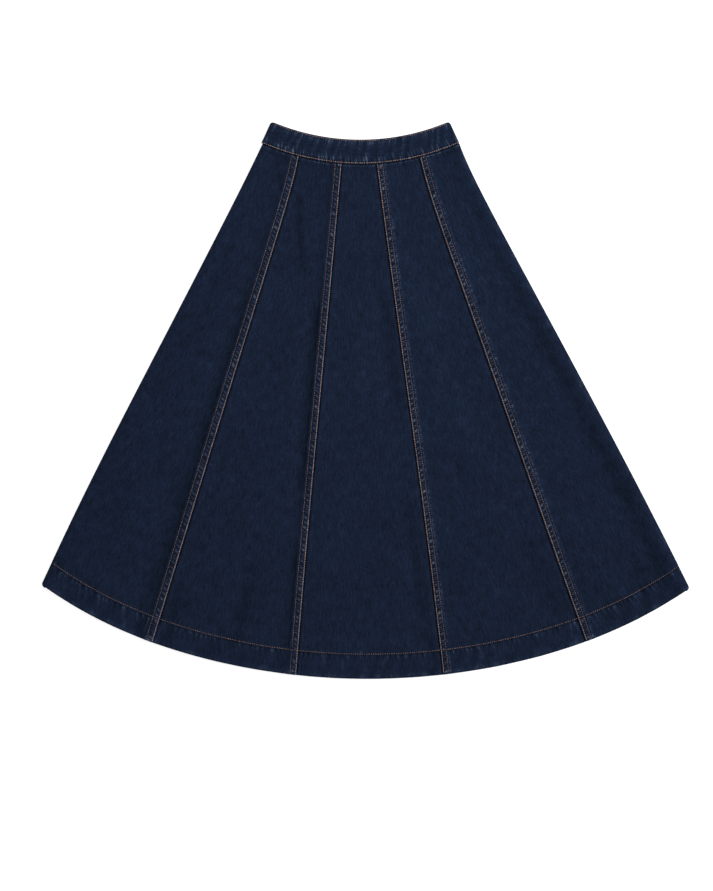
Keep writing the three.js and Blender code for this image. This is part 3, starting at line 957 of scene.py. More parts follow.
@dataclass
class Waistband:
    """The pull-on waistband: one ring of folded denim, laid flat, its two layers on each other."""

    thickness: float = 3.2  # of one layer
    row_top: float = 2.0  # the rows of stitches, from the upper and from the lower edge
    row_low: float = 1.45
    row_width: float = 0.9  # of the cloth that a row pulls in
    row_pull: float = 0.4
    # painted shade in the groove where a row pulls the cloth in
    row_painted_shade: float = 0.22
    high: Wave = Wave(4.8, 0.15)  # ripples from the upper edge
    high_reach: Slope = Slope(7.5, 1.0)
    low: Wave = Wave(5.0, -0.2, seed=1)  # ripples from the lower edge
    low_reach: Slope = Slope(8.0, 1.0)
    long: Wave = Wave(15.0, 0.3, seed=2)  # broader ones all over
    ripple_heights: tuple[float, float, float] = (0.3, 0.3, 0.12)  # of the three
    # the ripples' crests are worn and carry painted light, their hollows painted shade
    ripple_rubs_and_light: tuple[float, float, float] = (0.82, 1.2, 0.26)
    swell: float = 0.3  # of its whole height
    low_swell: Bell = Bell(0.0, 6.0, 0.75)
    worn: float = -0.01  # all over
    high_worn: tuple[Slope | Bell, ...] = (Slope(3.5, 0.2), Bell(6.0, 6.0, 0.2))
    low_worn: tuple[Bell, ...] = (Bell(7.5, 5.0, 0.2), Bell(0.6, 0.6, 0.45), Bell(3.6, 1.0, -0.2))
    edge_round: float = 1.3  # radius of its edges
    edge_hollow: float = 1.2  # how much thinner its wall is at its edges, on the inside
    pattern_start: tuple[float, float] = (40.0, 9.0)  # metres of cloth from the first gore's cut
    corner_round: float = 8.5  # of its upper corners, at the side folds
    across: int = 192  # columns over one layer
    round_steps: int = 10  # columns round a side fold
    coarse: int = 2
    seed: int = 400
    flat: tuple[float, float] = (0.625, 0.039)  # the face that shows, in metres
    rows: tuple[float, ...] = (  # below its upper edge
        0.0, 0.25, 0.7, 1.2, 1.7, 2.3, 3.1, 4.2, 5.6, 7.2, 9.0, 11.0, 13.2, 15.4, 17.6, 19.8, 22.0,
        24.2, 26.4, 28.4, 30.2, 31.8, 33.2, 34.3, 35.0, 35.6, 36.4, 37.1, 37.7, 38.2, 38.6, 38.85,
        39.0)

    @property
    def middle_z(self) -> float:
        """The height of the plane between the two layers."""
        return self.thickness + LAYER_GAP / 2

    def stations(self) -> tuple[Array, Array]:
        """Places round the band: x from -1 to 1 between the folds' centres, and turns round a fold."""
        x = np.linspace(-1.0, 1.0, self.across + 1)
        turn = math.pi * np.arange(1, self.round_steps) / self.round_steps
        ones = np.ones(len(turn))
        return (np.concatenate([x, ones, x[::-1], -ones]),
                np.concatenate([0 * x, turn, math.pi + 0 * x, turn[::-1]]))

    def travel(self, x: Array, turn: Array) -> Array:
        """Distance round the band at its stations, from the left end of the front."""
        layer = PLAN.band_half_low * 2
        front = (x + 1) / 2 * layer
        bend = self.middle_z * turn
        return np.where(turn == 0, front,
                        np.where(turn >= math.pi, layer * 2 - front + math.pi * self.middle_z,
                                 np.where(x > 0, layer + bend, 2 * layer + bend)))

    def detail(self, t: Array, q: Array) -> tuple[Array, Array]:
        """The band's relief: a soft swell, both rows pulled in, and ripples from both edges.

        Args:
            t: distances round the band.
            q: distances below its upper edge.

        Returns:
            The height that is added, and the dye's wear with painted light and shade.
        """
        up = PLAN.band_height - q
        rows = bell(q - self.row_top, self.row_width) + bell(up - self.row_low, self.row_width)
        high = self.high_reach.at(q) * self.high.at(t, q, self.seed)
        low = self.low_reach.at(up) * self.low.at(t, q, self.seed)
        long = self.long.at(t, q, self.seed)
        body = np.sin(math.pi * q / PLAN.band_height)
        tall, rub_and_light = self.ripple_heights, self.ripple_rubs_and_light
        height = tall[0] * high + tall[1] * low + (tall[2] * long + self.swell) * body
        height += self.low_swell.at(up) - self.row_pull * rows
        fade = self.worn + rub_and_light[0] * high + rub_and_light[1] * low + rub_and_light[2] * long - self.row_painted_shade * rows
        fade += sum(wear.at(q) for wear in self.high_worn) + sum(wear.at(up) for wear in self.low_worn)
        return height, fade

    def place(self, x: Array, turn: Array, q: Array, radius: Array) -> Array:
        """Points of the band.

        Args:
            x, turn: stations round the band.
            q: distances below the upper edge.
            radius: distances from the middle plane, or from a fold's centre line.

        Returns:
            The points.
        """
        share = q / PLAN.band_height
        reach = mix(PLAN.band_half_top, PLAN.band_half_low, share)
        out = PLAN.waist_centre_x + x * (reach - self.middle_z) + np.sign(x) * radius * np.sin(turn)
        edge = reach - np.abs(out - PLAN.waist_centre_x)
        bend = self.corner_round
        corner = arc_rise(bend, np.clip(bend - edge, 0.0, bend))
        y = mix(PLAN.band_top_y(out) - corner, PLAN.waist_y(out), share)
        return np.stack([out, y, self.middle_z + radius * np.cos(turn)], axis=-1)

    def outer_radius(self, t: Array, q: Array, turn: Array) -> tuple[Array, Array]:
        """The outer face's distance from the middle plane, and its wear with painted light and shade.

        Both edges are rounded over half the thickness. The back's face is pressed flat on the table.

        Args:
            t: distances round the band.
            q: distances below the upper edge.
            turn: turns round the folds.

        Returns:
            The radius, and the wear with painted light and shade.
        """
        height, fade = self.detail(t, q)
        near = np.minimum(q, PLAN.band_height - q)
        bend = self.edge_round
        rounded = arc_rise(bend, np.clip(bend - near, 0.0, bend))
        pressed = np.minimum(height, 0.0)
        facing = np.cos(turn)
        relief = np.where(facing >= 0, mix(pressed, height, facing), pressed)
        return self.middle_z - rounded + relief, fade

    def build(self, finish: bpy.types.Material) -> bpy.types.Object:
        """Make the band's mesh and hand it to the frame.

        Args:
            finish: the denim.

        Returns:
            The band's object.
        """
        x, turn = (a[None, :] for a in self.stations())
        q = np.array(self.rows)[:, None]
        t = self.travel(x, turn)
        radius, fade = self.outer_radius(t, q, turn)
        outer = self.place(x, turn, q, radius)
        near = np.minimum(q, PLAN.band_height - q)
        hollow = LAYER_GAP / 2 + self.edge_hollow * (1.0 - np.clip(near / self.edge_round, 0.0, 1.0))
        inner = self.place(x, turn, q, hollow + 0 * x)
        start = self.pattern_start
        grain = np.stack([q * MM + 0 * x + start[0], t * MM + 0 * q + start[1]], axis=-1)
        shell = Shell(outer, inner, fade, grain, self.coarse, ring=True)
        piece = shell.build("cloth_waistband", finish)
        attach(piece, "root")
        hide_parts("waistband")
        return piece


@dataclass(frozen=True)
class Row:
    """How the thread of one row of stitches lies."""

    width: float  # of the thread as it lies
    height: float
    share: float  # of the pitch that shows as thread
    sunk: float  # how far the ends sink into the cloth
    tone: float  # below 0 darker and above 0 brighter, in spreads of the thread's own unevenness
    clear: float = 0.0  # from a side fold, over which it is pulled in and doesn't show


class Stitches(NamedTuple):
    """Where stitches go in and come out, which way they face, and how their row lies."""

    start: Array
    end: Array
    up: Array
    row: Row


@dataclass
class Topstitching:
    """Rows of copper-brown thread: each stitch is a short plump tube that dives in at both ends."""

    pitch: float = 3.6  # from one stitch to the next
    near: Row = Row(1.12, 0.65, 0.97, 0.05, 0.2)
    far: Row = Row(0.72, 0.5, 0.86, 0.17, -1.2)
    hem: Row = Row(0.78, 0.5, 0.8, 0.17, -0.8)
    band_low: Row = Row(1.0, 0.65, 0.84, 0.1, 0.3, clear=1.2)
    band_top: Row = Row(0.95, 0.5, 0.85, 0.17, -0.8, clear=8.0)
    sides: int = 6
    arch: float = 0.3  # how far the middle stands above the ends
    seed: int = 900
    stations: tuple[tuple[float, float], ...] = (  # share of its length, and how full it is there
        (0.13, 0.74), (0.5, 1.0), (0.87, 0.74))
    seam_start: float = 0.8  # below the waist seam
    seam_spare: float = 1.0  # of a seam's length is left without stitches
    hem_place: float = 0.95  # the hem row's share of the length
    fold_start: float = 0.25  # of a side fold's radius is left without stitches
    samples: int = 400  # along a gore's hem
    lean: tuple[float, float] = (0.09, 0.05)  # mean and spread, in stitch lengths
    stretch: float = 0.035  # spread of the length, in stitch lengths
    offset: float = 0.05  # spread across the row
    lowest: float = 0.02  # above the table
    sharp: float = 80.0  # degrees by which an edge of the thread turns and isn't smoothed

    @staticmethod
    def laid(gore: Gore, start: Array, end: Array, row: Row) -> Stitches:
        """Stitches that face the way their gore's layer does."""
        up = np.array([0.0, 0.0, float(gore.layer.value)])
        return Stitches(start, end, np.broadcast_to(up, start.shape), row)

    def spaced(self, path: Array) -> tuple[Array, Array, float]:
        """Divide a path into whole stitches.

        Args:
            path: its points.

        Returns:
            How far along each point lies, where the stitches' middles lie, and their pitch.
        """
        steps = np.linalg.norm(np.diff(path, axis=0), axis=1)
        travel = np.concatenate([[0.0], np.cumsum(steps)])
        count = max(1, round(travel[-1] / self.pitch))
        pitch = travel[-1] / count
        return travel, pitch * (np.arange(count) + 0.5), pitch

    def seam_row(self, gore: Gore, side: int, d: float, row: Row) -> Stitches:
        """A row along a strip, from under the waistband down over the hem.

        Args:
            gore: the gore that carries the strip.
            side: -1 for its left seam and 1 for its right one.
            d: the row's distance from the seam.
            row: how it lies.

        Returns:
            The row's stitches.
        """
        length = float(gore.length(np.array(0.0 if side < 0 else 1.0)))
        count = int((length - self.seam_spare) / self.pitch)
        centre = self.seam_start + self.pitch * (np.arange(count) + 0.5)
        ends = []
        for shift in (-0.5, 0.5):
            down = centre + shift * row.share * self.pitch
            cloth = gore.cloth(gore.seam_share(side, d, down), down)
            ends.append(np.stack([cloth.x, cloth.y, cloth.outer], axis=-1))
        return self.laid(gore, ends[0], ends[1], row)

    def hem_row(self, gore: Gore) -> Stitches:
        """The row along the hem of one gore, over its strip.

        Args:
            gore: the gore.

        Returns:
            The row's stitches.
        """
        width = float(gore.width(np.array(self.hem_place)))
        reach = 2 * PLY + FOLD_INSIDE
        bare = self.fold_start * reach / width
        first = bare if gore.left_edge is Edge.FOLD else 0.0
        last = 1.0 - bare if gore.right_edge is Edge.FOLD else 1.0

        def places(s: Array) -> Array:
            cloth = gore.cloth(s, gore.length(s) - HEM_DEPTH)
            # Round a side fold the row comes down with the cloth.
            left = s * width if gore.left_edge is Edge.FOLD else reach
            right = (1.0 - s) * width if gore.right_edge is Edge.FOLD else reach
            drop = arc_rise(reach, np.clip(reach - np.minimum(left, right), 0.0, reach))
            return np.stack([cloth.x, cloth.y, cloth.outer - gore.layer.value * drop], axis=-1)

        fine = np.linspace(first, last, self.samples)
        travel, centre, pitch = self.spaced(places(fine)[:, :2])
        half = self.hem.share * pitch / 2
        start, end = (places(np.interp(centre + shift, travel, fine)) for shift in (-half, half))
        return self.laid(gore, start, end, self.hem)

    def band_row(self, band: Waistband, q: float, row: Row) -> Stitches:
        """A row round the waistband, at a distance below its upper edge.

        Args:
            band: the waistband.
            q: the row's distance from the upper edge.
            row: how it lies.

        Returns:
            The row's stitches.
        """
        x, turn = band.stations()
        t = band.travel(x, turn)
        depth = np.full(t.shape, q)
        line = band.place(x, turn, depth, band.outer_radius(t, depth, turn)[0])
        line = np.concatenate([line, line[:1]])
        facing = np.stack([np.sign(x) * np.sin(turn), 0 * turn, np.cos(turn)], axis=-1)
        facing = np.concatenate([facing, facing[:1]])
        travel, centre, pitch = self.spaced(line)

        def along(values: Array, where: Array) -> Array:
            return np.stack([np.interp(where, travel, values[:, i]) for i in range(3)], axis=-1)

        half = row.share * pitch / 2
        reach = mix(PLAN.band_half_top, PLAN.band_half_low, q / PLAN.band_height)
        centre = centre[np.abs(along(line, centre)[:, 0] - PLAN.waist_centre_x) < reach - row.clear]
        return Stitches(along(line, centre - half), along(line, centre + half), along(facing, centre),
                        row)

    def build(self, name: str, rows: list[Stitches], finish: bpy.types.Material) -> bpy.types.Object:
        """Make all the stitches of some rows as one mesh.

        Along a stitch the centre line is an arch, 1 - (2t - 1) squared, and its flattened section
        shrinks to a point at both ends. Stitches that lie on the table are pressed flat on it.

        Args:
            name: the object's name.
            rows: the rows.
            finish: the thread.

        Returns:
            The object.
        """
        start, end, up = (np.concatenate([getattr(row, key) for row in rows])
                          for key in ("start", "end", "up"))
        width, height, sunk, toned = (
            np.concatenate([np.full(len(row.start), getattr(row.row, key)) for row in rows])
            for key in ("width", "height", "sunk", "tone"))
        rng = np.random.default_rng(self.seed)
        count = len(start)
        span = end - start
        along = span / np.linalg.norm(span, axis=1, keepdims=True)
        across = np.cross(up, along)
        across /= np.linalg.norm(across, axis=1, keepdims=True)
        up = np.cross(along, across)
        # A lockstitch leans a little off its row, and no two are quite alike.
        slant = rng.normal(*self.lean, (count, 1)) * np.linalg.norm(span, axis=1, keepdims=True)
        stretch = 1.0 + rng.normal(0.0, self.stretch, (count, 1))
        centre = (start + end) / 2 + across * rng.normal(0.0, self.offset, (count, 1))
        reach = (span * stretch + across * slant) / 2
        turn = 2 * math.pi * np.arange(self.sides) / self.sides
        places = [(0.0, 0.0), *self.stations, (1.0, 0.0)]
        rings, uv = [], []
        for t, size in places:
            lift = self.arch * (1.0 - (2 * t - 1) ** 2) - sunk
            spot = centre + reach * (2 * t - 1) + up * lift[:, None]
            angles = turn if size else turn[:1]
            side = across[:, None] * (np.cos(angles) * width[:, None] / 2 * size)[:, :, None]
            high = up[:, None] * (np.sin(angles) * height[:, None] / 2 * size)[:, :, None]
            rings.append(spot[:, None] + side + high)
            uv.append(np.stack([np.full(len(angles), t), angles / (2 * math.pi)], -1))
        points = np.concatenate(rings, axis=1)
        points[..., 2] = np.maximum(points[..., 2], self.lowest)
        pattern = np.broadcast_to(np.concatenate(uv)[None], (count, points.shape[1], 2))
        triangles = self.stitch_faces()[None] + (np.arange(count) * points.shape[1])[:, None, None]
        tone = np.repeat(toned + rng.normal(0.0, 1.0, count), points.shape[1])
        piece = make_piece(name, points.reshape(-1, 3), triangles.reshape(-1, 3),
                           pattern.reshape(-1, 2), {"tone": tone}, finish, self.sharp)
        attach(piece, "root")
        return piece

    def stitch_faces(self) -> Array:
        """The triangles of one stitch: a fan at each point and bands between the rings."""
        n = self.sides
        here = np.arange(n)
        after = (here + 1) % n
        first = np.stack([0 * here, 1 + after, 1 + here], -1)
        bands = []
        for ring in range(len(self.stations) - 1):
            a = 1 + ring * n
            bands.append(np.stack([a + here, a + after, a + n + here], -1))
            bands.append(np.stack([a + after, a + n + after, a + n + here], -1))
        a = 1 + (len(self.stations) - 1) * n
        last = np.stack([a + n + 0 * here, a + here, a + after], -1)
        return np.concatenate([first, *bands, last])


def add_node(tree: bpy.types.NodeTree, kind: str, values: dict | None = None,
             links: dict | None = None, **settings: object) -> bpy.types.Node:
    """Add a shader node with its settings, its values and its links.

    Args:
        tree: the node tree.
        kind: the node's type.
        values: numbers or colours for inputs, by name or place.
        links: sockets for inputs, by name or place.
        settings: the node's own properties.

    Returns:
        The node.
    """
    node = tree.nodes.new(kind)
    for key, value in settings.items():
        setattr(node, key, value)
    for key, value in (values or {}).items():
        node.inputs[key].default_value = value
    for key, socket in (links or {}).items():
        tree.links.new(socket, node.inputs[key])
    return node


def new_material(name: str) -> bpy.types.Material:
    """A material with an empty node tree."""
    material = bpy.data.materials.new(name)
    material.use_nodes = True
    material.node_tree.nodes.clear()
    return material


def multiply_add(tree: bpy.types.NodeTree,
                 *terms: bpy.types.NodeSocket | float) -> bpy.types.NodeSocket:
    """The first term times the second plus the third, where each is a socket or a number."""
    links = {i: term for i, term in enumerate(terms) if isinstance(term, bpy.types.NodeSocket)}
    values = {i: term for i, term in enumerate(terms) if i not in links}
    return add_node(tree, "ShaderNodeMath", values, links, operation="MULTIPLY_ADD").outputs[0]


def add_ramp(tree: bpy.types.NodeTree, factor: bpy.types.NodeSocket,
             codes: tuple[str, ...], places: tuple[float, ...]) -> bpy.types.NodeSocket:
    """Colours by a factor: the first at 0, the last at 1 and the rest at the places."""
    node = add_node(tree, "ShaderNodeValToRGB", links={0: factor})
    stops = node.color_ramp.elements
    for place, code in zip(places, codes[1:-1], strict=True):
        stops.new(place).color = linear(code)
    stops[0].color = linear(codes[0])
    stops[-1].color = linear(codes[-1])
    return node.outputs[0]


@dataclass(frozen=True)
class Surface:
    """How a finish meets the light."""

    roughness: float
    specular: float
    bump: float  # share of its relief's height that shows
    depth: float  # its relief's height
    sheen: float = 0.0

    def add(self, tree: bpy.types.NodeTree, colour: bpy.types.NodeSocket,
            relief: bpy.types.NodeSocket) -> None:
        """Add the shader and the output, with a colour and a relief."""
        bump = add_node(tree, "ShaderNodeBump", {"Strength": self.bump, "Distance": self.depth * MM},
                        {"Height": relief})
        values = {"Roughness": self.roughness, "Specular IOR Level": self.specular,
                  "Sheen Weight": self.sheen}
        shader = add_node(tree, "ShaderNodeBsdfPrincipled", values,
                          {"Base Color": colour, "Normal": bump.outputs[0]})
        add_node(tree, "ShaderNodeOutputMaterial", links={0: shader.outputs[0]})


class Pattern(NamedTuple):
    """A cloudy pattern stretched along the warp."""

    width: float  # of its spots
    length: float
    copies: float  # how many finer copies are added
    share: float  # how strongly it lightens and darkens the cloth


@dataclass(frozen=True)
class RinsedDenim:
    """Indigo denim, a warp-faced twill, rinsed once.

    The warp is dyed and the weft is not, so the eye sees a matt blue-black with fine upright
    streaks where yarns run thick and thin, and paler blue where ridges are worn. Painted light
    and painted shade from the skirt's relief are laid into the same colour.
    """

    # From the deepest painted shade and unworn dye to where it is rubbed most and painted lightest.
    colours: tuple[str, ...] = ("#060a13", "#141d2e", "#192338", "#2c384b", "#5e636e")
    places: tuple[float, ...] = (0.40, 0.60, 0.78)
    slubs: Pattern = Pattern(2.0, 16.0, 3.0, 1.3)  # a real yarn is 0.4 mm, too fine to show
    yarns: Pattern = Pattern(1.3, 5.0, 1.0, 1.0)  # the finest streaks, also drawn coarser
    mottle: Pattern = Pattern(13.0, 16.9, 2.0, 0.34)
    clouds: Pattern = Pattern(85.0, 85.0, 1.0, 0.12)
    wale: float = 0.95  # from one line of the twill to the next
    wale_angle: float = 63.0  # of the twill's lines above the weft
    twill_share: float = 0.12
    cloudiness: float = 0.55  # how strong each finer copy of a pattern is
    relief_share: float = 0.6  # of the twill's lines beside the slubs, in the relief
    surface: Surface = Surface(roughness=0.93, specular=0.05, bump=0.35, depth=0.25)

    def spots(self, tree: bpy.types.NodeTree, uv: bpy.types.NodeSocket,
              pattern: Pattern) -> tuple[bpy.types.NodeSocket, float]:
        """Draw a pattern on the cloth.

        Args:
            tree: the node tree.
            uv: the cloth's own coordinates.
            pattern: the pattern.

        Returns:
            Its value, which lies about 0.5, and its share.
        """
        scale = (1 / (pattern.width * MM), 1 / (pattern.length * MM), 1.0)
        mapped = add_node(tree, "ShaderNodeMapping", {"Scale": scale}, {"Vector": uv})
        values = {"Scale": 1.0, "Detail": pattern.copies, "Roughness": self.cloudiness}
        noise = add_node(tree, "ShaderNodeTexNoise", values, {"Vector": mapped.outputs[0]},
                         noise_dimensions="2D")
        return noise.outputs[0], pattern.share

    @staticmethod
    def mixed(tree: bpy.types.NodeTree, mean: float,
              *parts: tuple[bpy.types.NodeSocket, float]) -> bpy.types.NodeSocket:
        """Add up patterns that each lie about 0.5, by their weights, about a mean of their own.

        Args:
            tree: the node tree.
            mean: what the sum lies about.
            parts: each pattern and its weight.

        Returns:
            The sum.
        """
        total: bpy.types.NodeSocket | float = mean - 0.5 * sum(weight for _, weight in parts)
        for socket, weight in parts:
            total = multiply_add(tree, socket, weight, total)
        return total

    def build(self) -> bpy.types.Material:
        """Make the material.

        Returns:
            The material.
        """
        material = new_material("rinsed indigo twill")
        tree = material.node_tree
        uv = add_node(tree, "ShaderNodeUVMap", uv_map="cloth").outputs[0]
        slubs, yarns, mottle, clouds = (
            self.spots(tree, uv, pattern)
            for pattern in (self.slubs, self.yarns, self.mottle, self.clouds))
        slope = (0.0, 0.0, math.radians(90 - self.wale_angle))
        turned = add_node(tree, "ShaderNodeMapping", {"Rotation": slope}, {"Vector": uv})
        # A wave texture has one band in a twentieth of a full turn of its scaled coordinate.
        waves = {"Scale": 2 * math.pi / 20 / (self.wale * MM), "Distortion": 0.0}
        twill = add_node(tree, "ShaderNodeTexWave", waves, {"Vector": turned.outputs[0]}).outputs[1]
        # The cloth's attribute holds the dye's wear together with the painted light and shade.
        fade = add_node(tree, "ShaderNodeAttribute", attribute_name="fade").outputs["Fac"]
        # Wear with painted light and shade picks the colour, and the yarns' unevenness then makes it
        # lighter and darker alike.
        worn = self.mixed(tree, 0.5, mottle, clouds)
        colour = add_ramp(tree, multiply_add(tree, fade, 0.5, worn), self.colours, self.places)
        weave = self.mixed(tree, 1.0, slubs, yarns, (twill, self.twill_share))
        dyed = add_node(tree, "ShaderNodeVectorMath", links={0: colour, "Scale": weave},
                        operation="SCALE")
        relief = multiply_add(tree, twill, self.relief_share, slubs[0])
        self.surface.add(tree, dyed.outputs[0], relief)
        return material


@dataclass(frozen=True)
class CopperThread:
    """Polyester-wrapped sewing thread in copper brown, twisted from plies: a slight soft gleam."""

    colours: tuple[str, str, str] = ("#4f3829", "#926e5f", "#c4a998")  # painted shade in the hollows, the body, and painted highlight on the plies
    turns: float = 4.0  # of the twist along one stitch
    uneven: float = 0.13  # how far a stitch of one spread lies from the body's colour
    ply_light_and_shade: float = 0.3  # how far the plies' painted highlight and the hollows' painted shade do
    surface: Surface = Surface(roughness=0.5, specular=0.3, bump=0.4, depth=0.1, sheen=0.1)

    def build(self) -> bpy.types.Material:
        """Make the material.

        Returns:
            The material.
        """
        material = new_material("copper topstitch thread")
        tree = material.node_tree
        uv = add_node(tree, "ShaderNodeUVMap", uv_map="cloth").outputs[0]
        parts = add_node(tree, "ShaderNodeSeparateXYZ", links={0: uv}).outputs
        turned = multiply_add(tree, parts[0], self.turns, parts[1])
        wound = add_node(tree, "ShaderNodeMath", {1: 2 * math.pi}, {0: turned}, operation="MULTIPLY")
        strands = add_node(tree, "ShaderNodeMath", links={0: wound.outputs[0]}, operation="SINE")
        tone = add_node(tree, "ShaderNodeAttribute", attribute_name="tone").outputs["Fac"]
        shade = multiply_add(tree, tone, self.uneven, 0.5)
        # The twist's plies get a painted highlight and the hollows between them painted shade.
        factor = multiply_add(tree, strands.outputs[0], self.ply_light_and_shade, shade)
        self.surface.add(tree, add_ramp(tree, factor, self.colours, (0.5,)), strands.outputs[0])
        return material


class Lamp(NamedTuple):
    """A square soft light that faces the skirt: its place and its side in metres, and its watts."""

    name: str
    place: tuple[float, float, float]
    size: float
    power: float


@dataclass
class Studio:
    """The white table, the soft lights and the camera straight above."""

    aim: tuple[float, float] = (-14.4, -72.2)  # what stands at the picture's middle
    shown: float = 1425.6  # the picture's height on the table
    lens: float = 85.0
    sensor: float = 36.0
    cloth_z: float = 5.0  # where the picture's height is measured
    sight: float = 100000.0  # the camera sees as far as this
    floor_z: float = -0.3
    floor_size: float = 60000.0
    floor_shade: float = 0.4  # share of the light that it throws back
    floor_glow: float = 0.88
    floor_roughness: float = 0.95
    room: float = 0.268  # the strength of the light from all round
    lamps: tuple[Lamp, ...] = (Lamp("key from the right", (11.1, 2.85, 7.2), 4.2, 1830.0),
                               Lamp("soft box over the upper half", (0.15, 0.39, 0.9), 0.5, 2.6))

    def camera(self) -> None:
        """Set up the camera, looking straight down with the waist at the top."""
        data = bpy.data.cameras.new("camera")
        data.lens = self.lens
        data.sensor_width = self.sensor
        data.sensor_fit = "AUTO"
        data.clip_end = self.sight * MM
        camera = bpy.data.objects.new("camera", data)
        away = self.shown / 2 / (self.sensor / 2 / self.lens) + self.cloth_z
        camera.location = (self.aim[0] * MM, self.aim[1] * MM, away * MM)
        bpy.context.scene.collection.objects.link(camera)
        bpy.context.scene.camera = camera

    @staticmethod
    def hang(lamp: Lamp) -> None:
        """Hang a lamp, out of the camera's sight."""
        data = bpy.data.lights.new(lamp.name, "AREA")
        data.shape = "SQUARE"
        data.size = lamp.size
        data.energy = lamp.power
        light = bpy.data.objects.new(lamp.name, data)
        light.location = lamp.place
        away = np.array(lamp.place) / np.linalg.norm(lamp.place)
        light.rotation_euler = (0.0, math.acos(away[2]), math.atan2(away[1], away[0]))
        light.visible_camera = False
        bpy.context.scene.collection.objects.link(light)

    def build(self) -> None:
        """Lay the floor, hang the lights and set the surroundings."""
        half = self.floor_size / 2
        corners = [(-half, -half), (half, -half), (half, half), (-half, half)]
        mesh = bpy.data.meshes.new("floor")
        mesh.from_pydata([(x * MM, y * MM, self.floor_z * MM) for x, y in corners], [], [(0, 1, 2, 3)])
        floor = bpy.data.objects.new("floor", mesh)
        bpy.context.scene.collection.objects.link(floor)
        # A sheet lit from below as well: it stays white where the skirt's faint shadow falls.
        paper = bpy.data.materials.new("white light table")
        paper.use_nodes = True
        shader = paper.node_tree.nodes["Principled BSDF"]
        values = {"Base Color": (*[self.floor_shade] * 3, 1.0), "Roughness": self.floor_roughness,
                  "Specular IOR Level": 0.0, "Emission Color": (1.0, 1.0, 1.0, 1.0),
                  "Emission Strength": self.floor_glow}
        for key, value in values.items():
            shader.inputs[key].default_value = value
        mesh.materials.append(paper)
        for lamp in self.lamps:
            self.hang(lamp)
        world = bpy.data.worlds.new("white room")
        world.use_nodes = True
        back = world.node_tree.nodes["Background"]
        back.inputs[0].default_value = (1.0, 1.0, 1.0, 1.0)
        back.inputs[1].default_value = self.room
        scene = bpy.context.scene
        scene.world = world
        scene.view_settings.view_transform = "Standard"
        scene.view_settings.look = "None"


# The strips left of the middle have wider allowances than those right of it. The strips right of
# it face the light, so their ropes carry more painted light and shade, and a painted highlight lies
# past their allowances where the left ones have painted shade.
STRIP_LEFT = Strip(near=1.2, far=9.9, end=12.6, rope_rub_and_light=1.1, rope_hollow_dye_and_shade=0.38, past_rub_and_light=0.15,
                   beside=Bell(17.0, 6.5, -0.04), ledge=Bell(15.6, 1.5, 0.1))
STRIP_RIGHT = Strip(near=1.4, far=9.2, end=11.4, rope_rub_and_light=1.45, rope_hollow_dye_and_shade=0.55, past_rub_and_light=0.35,
                    beside=Bell(12.2, 1.6, 0.35), ledge=Bell(13.2, 1.5, 0.35))


